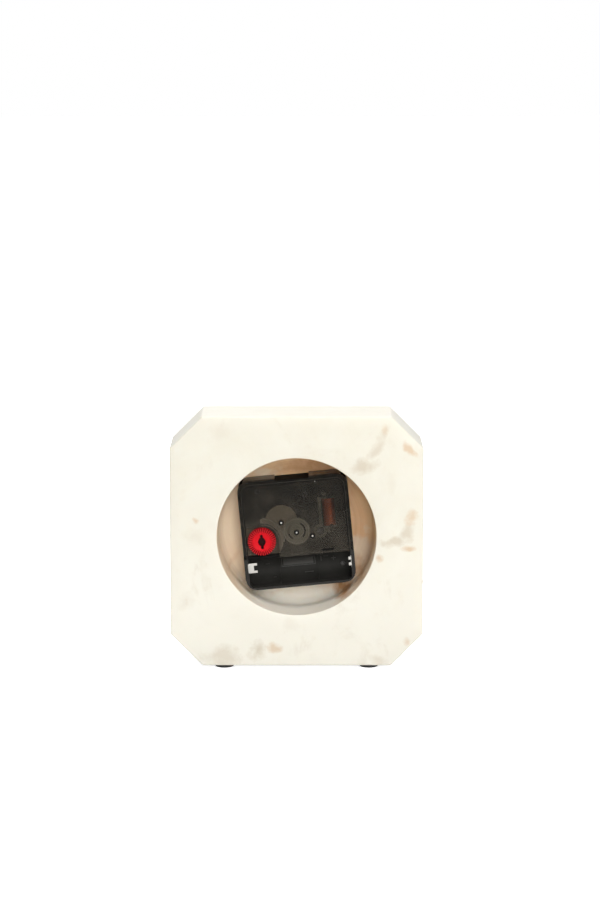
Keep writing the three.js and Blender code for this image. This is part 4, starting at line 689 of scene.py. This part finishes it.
def knob_rings():
    """Rules from the slot's floor round to the underside; each gives a turn's radius, depth and painted
    shading, which is painted highlight on the rib tops and painted shade in the grooves, the slot and
    underneath.
    """
    def slot(share, more, depth, dark):
        return lambda turn: (slot_reach(turn) * share + more, depth, dark)

    def even(radius, depth, dark=0.0):
        return lambda turn: (radius, depth, dark)

    def ribbed(share):
        radius = RIB_START + (KNOB_RADIUS - 0.35 - RIB_START) * share
        rise = min(1.0, share * 3.0)
        crown = 0.3 * sin(pi / 2 * min(1.0, share * 2.2)) - 0.14 * max(0.0, share - 0.5)
        return lambda turn: (radius, 0.32 - crown + RIB_DEPTH * rise * groove(turn),
                             rise * (2 * groove(turn) - 1))

    def side(inset, depth):
        return lambda turn: (KNOB_RADIUS - inset - 1.1 * groove(turn), depth, 2 * groove(turn) - 1)

    rings = [even(0.02, SLOT_DEPTH, 1.0), slot(0.9, 0.0, SLOT_DEPTH, 1.0), slot(0.97, 0.0, 1.2, 1.0),
             slot(1.0, 0.04, 0.72, 0.6), slot(1.0, 0.14, 0.62, 0.0), slot(1.0, 0.3, 0.6, 0.0)]
    rings += [even(radius, depth) for radius, depth in ((4.1, 0.56), (4.3, 0.48), (4.5, 0.36))]
    rings += [ribbed(share) for share in (0.0, 0.15, 0.33, 0.5, 0.7, 0.88, 1.0)]
    rings += [side(*pair) for pair in (
        (0.14, 0.3), (0.03, 0.55), (0.0, 0.9), (0.0, 2.4), (0.06, 2.9), (0.25, 3.25))]
    under = KNOB_TOP - KNOB_UNDER
    return rings + [even(KNOB_RADIUS - 1.4, under, 1.0), even(0.02, under)]


def build_knob():
    centre = MOVEMENT.inverted() @ Vector((HINGES["knob"].x, CASE_FRONT_Y, HINGES["knob"].z))
    rings, painted_shading = [], []
    for rule in knob_rings():
        ring = []
        for turn in turns(KNOB_COLUMNS):
            radius, depth, dark = rule(turn)
            ring.append(in_movement(centre.x + radius * cos(turn), centre.y + radius * sin(turn),
                                    KNOB_TOP - depth))
            painted_shading.append(dark)
        rings.append(ring)
    points, faces = skin(rings)
    head = new_piece("knob_head", points, faces, "red_plastic", 50)
    # Painted light and shade of the knob, kept on its points.
    shade = head.data.attributes.new("hollow", "FLOAT", "POINT")
    shade.data.foreach_set("value", painted_shading)
    stem = lower_part("setting_knob", "knob_stem", KNOB_UNDER + 0.4)
    for piece in (head, stem):
        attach(piece, "knob")
        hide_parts("setting_knob")


def lower_part(node, name, top):
    """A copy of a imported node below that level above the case's front, capped where it is cut."""
    made = bmesh.new()
    made.from_mesh(frame["nodes"][node].data)
    bmesh.ops.remove_doubles(made, verts=made.verts, dist=WELD_REACH)
    cut = bmesh.ops.bisect_plane(
        made, geom=made.verts[:] + made.edges[:] + made.faces[:],
        plane_co=(0, CASE_FRONT_Y + top * MM, 0), plane_no=(0, 1, 0), clear_outer=True)
    edges = [item for item in cut["geom_cut"] if isinstance(item, bmesh.types.BMEdge)]
    bmesh.ops.holes_fill(made, edges=edges)
    bmesh.ops.dissolve_limit(made, angle_limit=FLAT_ANGLE, verts=made.verts, edges=made.edges)
    bmesh.ops.recalc_face_normals(made, faces=made.faces)
    mesh = bpy.data.meshes.new(name)
    made.to_mesh(mesh)
    made.free()
    piece = linked(name, mesh)
    mesh.materials.append(finish_for("red_plastic"))
    shade_by_angle(mesh, 30)
    return piece


# Motor winding

WIRE_TURNS = 62
WIRE_STEPS = 30
WIRE_SIDES = 6
WIRE_RADIUS = 0.105
WINDING = {"centre": (17.2, 8.6, 11.7), "length": 14.1, "half_width": 3.06, "half_thickness": 2.16}


def build_winding():
    centre = Vector(WINDING["centre"])
    total = WIRE_TURNS * WIRE_STEPS
    path = []
    for step in range(total + 1):
        turn = tau * step / WIRE_STEPS
        wander = 0.03 * noise.noise(Vector((turn * 0.35, 0, 0)))
        path.append(centre + Vector(((WINDING["half_width"] + wander) * cos(turn),
                                     (step / total - 0.5) * WINDING["length"],
                                     (WINDING["half_thickness"] + wander) * sin(turn))))
    rings = []
    for step, point in enumerate(path):
        along = (path[min(step + 1, total)] - path[max(step - 1, 0)]).normalized()
        side = along.cross(Vector((0, 1, 0))).normalized()
        up = side.cross(along)
        rings.append([MOVEMENT @ (point + (side * cos(turn) + up * sin(turn)) * WIRE_RADIUS)
                      for turn in turns(WIRE_SIDES)])
    points, faces = skin(rings)
    wire = new_piece("winding_wire", points, faces, "copper", 180)
    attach(wire, "root")
    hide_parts("coil_winding")


COIL_STUDS = (((13.15, 17.8), 1.4), ((17.75, 16.6), 1.1), ((18.0, 1.2), 1.2))
LEAD = ((15.9, 4.9, 14.12), (17.6, 2.9, 14.2), (19.2, 1.0, 13.9))


def build_coil_details():
    """The dark studs that hold the coil's ends, and the thin wire that leaves its foot."""
    studs = [stud(place, ((0, 14.3), (radius - 0.25, 14.3), (radius - 0.05, 14.22),
                          (radius, 14.07), (0, 14.07))) for place, radius in COIL_STUDS]
    detail("coil_studs", studs, "dull_black", slot="black_plastic")
    lead = [[in_movement(place[0] + 0.08 * cos(turn), place[1] + 0.08 * cos(turn),
                         place[2] + 0.11 * sin(turn)) for turn in turns(8)] for place in LEAD]
    detail("coil_lead", [skin(lead)], "copper")


# Rings and lips that stand on the wheels and the bridge

SECONDS_RINGS = ((6.05, 6.6), (4.95, 5.25), (3.2, 3.6), (1.7, 2.0))
SECONDS_WHEEL_TOP = 12.0
BRIDGE_TOP = 10.7
KNOB_PLACE = (-18.0, -3.4)


def build_rings():
    rings = [arc_band((0, 0), inner, outer, SECONDS_WHEEL_TOP - 0.02, SECONDS_WHEEL_TOP + 0.14)
             for inner, outer in SECONDS_RINGS]
    detail("seconds_wheel_rings", rings, "white_plastic", "seconds", "beige_nylon")
    # The lip is paler than the bridge: painted highlight along its edge.
    lip = arc_band(KNOB_PLACE, 11.0, 11.6, BRIDGE_TOP - 0.02, BRIDGE_TOP + 0.42, -8, 84, 48)
    detail("bridge_lip", [lip], "white_plastic", slot="beige_nylon")


# Small details of the cover and the case

CHAMBER = ((-26.9, -11.6, 1.2), (26.9, 26.9, 14.3))
BAY = ((-26.9, -26.9, 1.2), (26.9, -11.9, 13.5))


def finish_hollows():
    """Gives the shell's gear chamber a dull finish and its battery bay a matt one."""
    mesh = frame["nodes"]["movement_front_shell"].data
    back = MOVEMENT.inverted()
    for slot, (key, (low, high)) in enumerate((("dull_black", CHAMBER), ("matt_black", BAY)), 1):
        mesh.materials.append(finish_for(key))
        for face in mesh.polygons:
            centre = back @ face.center
            if all(a < value < b for a, value, b in zip(low, centre, high)):
                face.material_index = slot


COVER_EDGE = {"half": 28.0, "corner": 6.0, "bottom": -11.8}


def edge_band(outer, inner, low, high):
    """A band beside the cover's left, top and right edges, between two insets and two levels."""
    def path(inset):
        half, radius = COVER_EDGE["half"] - inset, COVER_EDGE["corner"] - inset
        points = [(-half, COVER_EDGE["bottom"])]
        for side, start in ((-1, 180), (1, 90)):
            centre = (side * (half - radius), half - radius)
            points += [(centre[0] + radius * cos(turn), centre[1] + radius * sin(turn))
                       for turn in (radians(start - 9 * step) for step in range(11))]
        return points + [(half, COVER_EDGE["bottom"])]

    return skin([[in_movement(*place, level)
                  for place, level in ((far, low), (far, high), (near, high), (near, low))]
                 for far, near in zip(path(outer), path(inner))])


COVER_TOP = 15.6
BEARINGS = ((-7.29, 5.69), (0.0, 0.0), (7.85, -2.45))
EJECTOR_MARKS = ((-17.7, 22.7), (5.9, 19.3), (22.6, 21.0))
SLOT_PLACE = (14.9, -10.3)
HOLLOW_HALF = 8.7
HOLLOW_UP = 27.4


def build_cover_details():
    pin = ((0, 16.34), (0.2, 16.32), (0.4, 16.22), (0.46, 16.08), (0.46, 15.9), (0, 15.9))
    detail("bearing_pins", [stud(place, pin, 24) for place in BEARINGS], "steel")
    collars = [arc_band(place, 0.5, 1.28, 15.7, 16.12, steps=32) for place in BEARINGS]
    detail("bearing_collars", collars, "dull_black", slot="black_plastic")
    marks = [arc_band(place, 0.95, 1.2, COVER_TOP - 0.02, COVER_TOP + 0.07, steps=36)
             for place in EJECTOR_MARKS]
    detail("ejector_marks", marks, "black_plastic")
    pip = stud((11.6, 25.3), ((0, 15.8), (0.1, 15.79), (0.19, 15.72), (0.2, 15.59), (0, 15.59)), 20)
    detail("moulding_pip", [pip], "steel", slot="smoked_plastic")
    # A pale band of painted highlight along the cover's raised edge, and dark bands of painted shadow beside
    # it.
    detail("cover_edge_light", [edge_band(1.64, 1.86, 15.58, 15.66)], "painted_edge_highlight", slot="smoked_plastic")
    detail("cover_edge_shade", [edge_band(2.05, 2.5, 15.58, 15.62), edge_band(0.7, 1.0, 14.88, 14.93)],
           "dull_black", slot="black_plastic")
    # A dull black tray in the cover's slot stands for the shade inside it: painted shade.
    x, y = SLOT_PLACE
    shade_lining = bar((x - 2.98, y - 0.48, 14.42), (x + 2.98, y + 0.48, 15.56))
    detail("slot_lining", [shade_lining], "dull_black", slot="black_plastic")
    # A thin dull black sheet at the back of the case's top hollow: painted shade.
    shade_liner = bar((-HOLLOW_HALF + 0.06, HOLLOW_UP, 0.15), (HOLLOW_HALF - 0.06, HOLLOW_UP + 0.05, 15.4))
    detail("hollow_lining", [shade_liner], "dull_black", slot="black_plastic")


CELL = {"up": -19.45, "level": 8.85, "radius": 7.45}

# Raised patches: a frame and its panel, a plus and a minus, and four bars. Left, right, the two angles, how
# proud, and the steps where they aren't ten.
BAY_PATCHES = (
    (-9.6, 7.9, -3, -1, 0.26, 2), (-9.6, 7.9, 34, 36, 0.26, 2), (-9.6, -9.2, -1, 34, 0.26),
    (7.5, 7.9, -1, 34, 0.26), (-8.6, 6.9, 2, 31, 0.1),
    (16.0, 18.4, 13.8, 17.2, 0.22, 3), (16.98, 17.42, 6.5, 24.5, 0.22), (-17.6, -15.4, 13.8, 17.2, 0.22, 3),
    (10.6, 11.1, 8, 28, 0.2), (12.2, 14.6, 26, 30, 0.2, 3), (-14.2, -12.6, -44, -40, 0.3, 3),
    (2.0, 6.5, -33, -30, 0.25, 3),
)


def trough_patch(left, right, start, end, proud, steps=10):
    """A raised patch on the bay's round bottom, between two angles from its lowest line, upwards positive."""
    low, high = CELL["radius"] + 0.05, CELL["radius"] - proud
    rings = []
    for step in range(steps + 1):
        turn = radians(start + (end - start) * step / steps)
        rings.append([in_movement(
            across, CELL["up"] + radius * sin(turn), CELL["level"] - radius * cos(turn))
            for across, radius in ((left, low), (left, high), (right, high), (right, low))])
    return skin(rings)


def build_bay_details():
    """A bare label panel, the marks for the cell's ends and a few moulding marks in the battery bay, in a
    black paler than the case as painted light.
    """
    marks = [trough_patch(*patch) for patch in BAY_PATCHES]
    detail("bay_marks", marks, "raised_black", slot="black_plastic")
    boss = stud((21.7, -21.0), ((0, 2.5), (0.5, 2.5), (0.6, 2.2), (0.95, 2.2),
                                (1.2, 2.05), (1.25, 1.4), (0, 1.4)))
    detail("bay_boss", [boss], "raised_black", slot="black_plastic")


# Stage

LAMPS = {"key": (-0.35, 1.35, 0.75), "right": (-0.95, 1.05, 0.7), "front": (-0.2, 1.58, 0.43),
         "far": (0.15, -0.55, 1.2), "above": (-0.1, 0.75, 1.4)}
LAMP_AIM = (0, 0.02, 0.065)
LAMP_COLOUR = (1.0, 0.985, 0.955)
LAMP_SIZE = 0.8


def build_lamp(name, power):
    """A round, nearly white lamp that shines on the clock's middle."""
    data = bpy.data.lights.new(name, "AREA")
    data.energy = power
    data.color = LAMP_COLOUR
    data.shape = "DISK"
    data.size = LAMP_SIZE
    item = linked(name, data)
    item.location = LAMPS[name]
    item.rotation_euler = (Vector(LAMP_AIM) - Vector(LAMPS[name])).to_track_quat("-Z", "Y").to_euler()


def build_world(settings):
    """Even light all round, plain white as seen directly, in a reflection or through glass."""
    world = bpy.data.worlds.new("studio")
    world.use_nodes = True
    bpy.context.scene.world = world
    tree = world.node_tree
    background = tree.nodes["Background"]
    background.inputs["Color"].default_value = (1.0, 1.0, 1.0, 1.0)
    path = add(tree, "LightPath")
    seen = worked("MAXIMUM", path.outputs["Is Camera Ray"], worked(
        "MAXIMUM", path.outputs["Is Glossy Ray"], path.outputs["Is Transmission Ray"]))
    strength = mapped(seen, 0.0, 1.0, settings.fill, 1.0)
    tree.links.new(strength, background.inputs["Strength"])


def build_floor(settings):
    mesh = bpy.data.meshes.new("floor")
    reach = 6.0
    mesh.from_pydata([(-reach, -reach, 0), (reach, -reach, 0), (reach, reach, 0), (-reach, reach, 0)], [],
                     [(0, 1, 2, 3)])
    floor = linked("floor", mesh)
    material, surface, where = finish("white_paper", Roughness=0.9, Emission_Color=(1.0, 1.0, 1.0, 1.0))
    fibre = mottle(where, 900.0, 3.0)
    path = add(where, "LightPath")
    feed(surface, Base_Color=mixed(fibre, (0.9, 0.9, 0.9), (0.94, 0.94, 0.94)),
         Emission_Strength=worked("MULTIPLY", path.outputs["Is Camera Ray"], settings.floor_glow),
         Normal=bumped(fibre, 0.00003, 0.3))
    mesh.materials.append(material)


def build_camera(settings):
    data = bpy.data.cameras.new("photo_camera")
    data.lens = settings.lens
    data.sensor_width = 36.0
    camera = linked("photo_camera", data)
    target = Vector(settings.target)
    pitch = settings.pitch
    camera.location = target + Vector((0, cos(pitch), sin(pitch))) * settings.distance
    camera.rotation_euler = (target - camera.location).to_track_quat("-Z", "Y").to_euler()
    bpy.context.scene.camera = camera


# Settings

def colour_of(name, about, value):
    return FloatVectorProperty(name=name, description=about, default=value, subtype="COLOR", size=3,
                               min=0.0, max=1.0)


def number_of(name, about, value, **kind):
    return FloatProperty(name=name, description=about, default=value, **kind)


def power_of(name, about, value):
    return number_of(name, about, value, min=0.0, subtype="POWER", unit="POWER")


class ClockFinish(bpy.types.PropertyGroup):
    marble: colour_of("Marble", "Ground colour of the polished stone", screen_colour(228, 226, 215))
    marble_shade: colour_of("Marble cloud", "Colour of the stone's soft clouds", screen_colour(223, 219, 205))
    marble_foot: colour_of("Marble foot", "Paler stone towards the foot", screen_colour(240, 238, 229))
    vein: colour_of("Vein", "Colour of the warm grey veins", screen_colour(208, 199, 182))
    rust: colour_of("Rust", "Colour of the small rusty specks", screen_colour(213, 193, 167))
    # Painted shade for the recess's top and right, in two browns, and painted light for its foot.
    bore_painted_shading: colour_of("Bored stone", "Stained stone in the recess", (0.97, 0.75, 0.48))
    bore_painted_deep_shade: colour_of("Bored stone shade", "Darker stained stone in the recess", (0.93, 0.6, 0.33))
    bore_painted_light: colour_of("Pale bored stone", "Freshly cut stone at the recess's foot", (0.985, 0.96, 0.88))
    # Colour of the real ring marks, and of the recess's streaks of painted shade.
    ring_and_shade_mark: colour_of("Ring mark", "Brown rings and streaks in the recess", (0.6, 0.33, 0.16))
    case: colour_of("Case", "Colour of the movement's black moulding", (0.013, 0.0125, 0.0115))
    cover: colour_of("Cover", "Colour of the smoked cover", (0.0265, 0.0248, 0.0212))
    # The haze colour also carries the painted sheen at the cover's bottom.
    cover_haze_and_sheen: colour_of("Cover haze", "Colour of the cover's faint haze", (0.078, 0.069, 0.056))
    cover_opacity: number_of("Cover opacity", "Share of light that each cover face stops", 0.48,
                             min=0.0, max=1.0, subtype="FACTOR")
    knob: colour_of("Knob", "Colour of the setting knob", (0.53, 0.003, 0.01))
    wheel: colour_of("Wheels", "Colour of the nylon wheels", (0.66, 0.53, 0.36))
    copper: colour_of("Copper", "Colour of the enamelled wire", (0.95, 0.26, 0.09))
    brass: colour_of("Brass", "Colour of the hands and markers", (0.78, 0.55, 0.22))


class ClockStage(bpy.types.PropertyGroup):
    key_power: power_of("Key lamp", "Power of the lamp above the camera", 3.55)
    right_power: power_of("Right lamp", "Power of the lamp at the picture's right", 3.3)
    front_power: power_of("Front lamp", "Power of the lamp beside the camera", 7.0)
    far_power: power_of("Far lamp", "Power of the lamp above the far side", 11.5)
    above_power: power_of("Upper lamp", "Power of the lamp above the near side", 7.2)
    fill: number_of("Fill", "Strength of the even light all round", 0.2, min=0.0)
    floor_glow: number_of("Floor glow", "Light added to the floor for the camera", 0.77, min=0.0)
    lens: number_of("Lens", "Focal length", 113.88, subtype="DISTANCE_CAMERA")
    pitch: number_of("Pitch", "How far the camera looks down", radians(9.33),
                     subtype="ANGLE", unit="ROTATION")
    distance: number_of("Distance", "From the camera to its target", 1.42, subtype="DISTANCE", unit="LENGTH")
    target: FloatVectorProperty(name="Target", description="Point that the camera looks at",
                                default=(-0.0017, 0.02355, 0.1118), subtype="TRANSLATION", size=3)


# Operators

class CLOCK_OT_stage(bpy.types.Operator):
    """Sets the floor, the light and the camera"""
    bl_idname = "clock.stage"
    bl_label = "Stage"

    def execute(self, context):
        settings = context.scene.clock_stage
        context.scene.view_settings.view_transform = "Standard"
        build_world(settings)
        build_floor(settings)
        build_camera(settings)
        for name in LAMPS:
            build_lamp(name, getattr(settings, name + "_power"))
        return {"FINISHED"}


class CLOCK_OT_block(bpy.types.Operator):
    """Carves the marble block with its chamfered corners and its recess"""
    bl_idname = "clock.block"
    bl_label = "Marble block"

    def execute(self, context):
        build_block()
        return {"FINISHED"}


class CLOCK_OT_feet(bpy.types.Operator):
    """Turns the four rubber pads"""
    bl_idname = "clock.feet"
    bl_label = "Feet"

    def execute(self, context):
        build_feet()
        return {"FINISHED"}


class CLOCK_OT_dial(bpy.types.Operator):
    """Finishes the twelve hour markers"""
    bl_idname = "clock.dial"
    bl_label = "Hour markers"

    def execute(self, context):
        for hour in range(1, 13):
            refine(f"hour_marker_{hour:02d}", "brass", 0.14, 3)
        return {"FINISHED"}


class CLOCK_OT_fixing(bpy.types.Operator):
    """Finishes the threaded bush, its washers and its nut"""
    bl_idname = "clock.fixing"
    bl_label = "Fixing"

    def execute(self, context):
        refine("rubber_washer", "rubber", 0.15)
        refine("brass_washer", "brass", 0.12)
        refine("hex_nut", "brass", 0.2)
        refine("threaded_bush", "brass", 0.1)
        return {"FINISHED"}


class CLOCK_OT_hands(bpy.types.Operator):
    """Finishes the hour, minute and second hands"""
    bl_idname = "clock.hands"
    bl_label = "Hands"

    def execute(self, context):
        for name in ("hour_hand", "minute_hand", "second_hand"):
            refine(name, "brass", 0.1)
        return {"FINISHED"}


class CLOCK_OT_case(bpy.types.Operator):
    """Finishes the movement's case, cover and plates"""
    bl_idname = "clock.case"
    bl_label = "Movement case"

    def execute(self, context):
        refine("movement_front_shell", "black_plastic", 0.14)
        finish_hollows()
        refine("movement_rear_cover", "smoked_plastic", 0.12)
        refine("middle_plate", "dull_black", 0.1)
        refine("setting_bridge", "beige_nylon", 0.08)
        build_cover_details()
        build_bay_details()
        return {"FINISHED"}


class CLOCK_OT_train(bpy.types.Operator):
    """Finishes the wheels and their arbors"""
    bl_idname = "clock.train"
    bl_label = "Wheels"

    def execute(self, context):
        for name in ("third_wheel", "centre_wheel", "minute_arbor", "minute_wheel", "hour_wheel"):
            refine(name, "beige_nylon", 0)
        refine("seconds_wheel", "pale_nylon", 0)
        refine("fifth_wheel", "dark_nylon", 0)
        build_rings()
        refine("rotor", "magnet", 0)
        return {"FINISHED"}


class CLOCK_OT_knob(bpy.types.Operator):
    """Moulds the red setting knob with its ribs and its slot"""
    bl_idname = "clock.knob"
    bl_label = "Setting knob"

    def execute(self, context):
        build_knob()
        return {"FINISHED"}


class CLOCK_OT_motor(bpy.types.Operator):
    """Winds the coil and finishes the stator, core and former"""
    bl_idname = "clock.motor"
    bl_label = "Motor"

    def execute(self, context):
        build_winding()
        build_coil_details()
        for name in ("stator", "coil_core"):
            refine(name, "dark_steel", 0.05)
        refine("coil_bobbin", "dull_former", 0.06)
        return {"FINISHED"}


class CLOCK_OT_electronics(bpy.types.Operator):
    """Finishes the board, chip, crystal and battery contacts"""
    bl_idname = "clock.electronics"
    bl_label = "Electronics"

    def execute(self, context):
        refine("circuit_board", "board", 0.05)
        refine("chip_blob", "resin", 0)
        refine("quartz_crystal", "steel", 0.08)
        for side in ("left", "right"):
            refine("battery_contact_" + side, "steel", 0.06)
        return {"FINISHED"}


OPERATORS = (CLOCK_OT_stage, CLOCK_OT_block, CLOCK_OT_feet, CLOCK_OT_dial, CLOCK_OT_fixing, CLOCK_OT_hands,
             CLOCK_OT_case, CLOCK_OT_train, CLOCK_OT_knob, CLOCK_OT_motor, CLOCK_OT_electronics)


class CLOCK_PT_panel(bpy.types.Panel):
    """Lists the clock's pieces and settings"""
    bl_idname = "CLOCK_PT_panel"
    bl_label = "Marble clock"
    bl_space_type = "VIEW_3D"
    bl_region_type = "UI"
    bl_category = "Marble clock"

    def draw(self, context):
        for operator in OPERATORS:
            self.layout.operator(operator.bl_idname)
        for group in (context.scene.clock_finish, context.scene.clock_stage):
            for name in group.__annotations__:
                self.layout.prop(group, name)


CLASSES = (ClockFinish, ClockStage, *OPERATORS, CLOCK_PT_panel)


def register():
    for item in CLASSES:
        bpy.utils.register_class(item)
    bpy.types.Scene.clock_finish = PointerProperty(type=ClockFinish)
    bpy.types.Scene.clock_stage = PointerProperty(type=ClockStage)


def unregister():
    del bpy.types.Scene.clock_stage
    del bpy.types.Scene.clock_finish
    for item in reversed(CLASSES):
        bpy.utils.unregister_class(item)


def main():
    register()
    for operator in OPERATORS:
        getattr(bpy.ops.clock, operator.bl_idname.split(".")[1])()


if __name__ == "__main__":
    main()
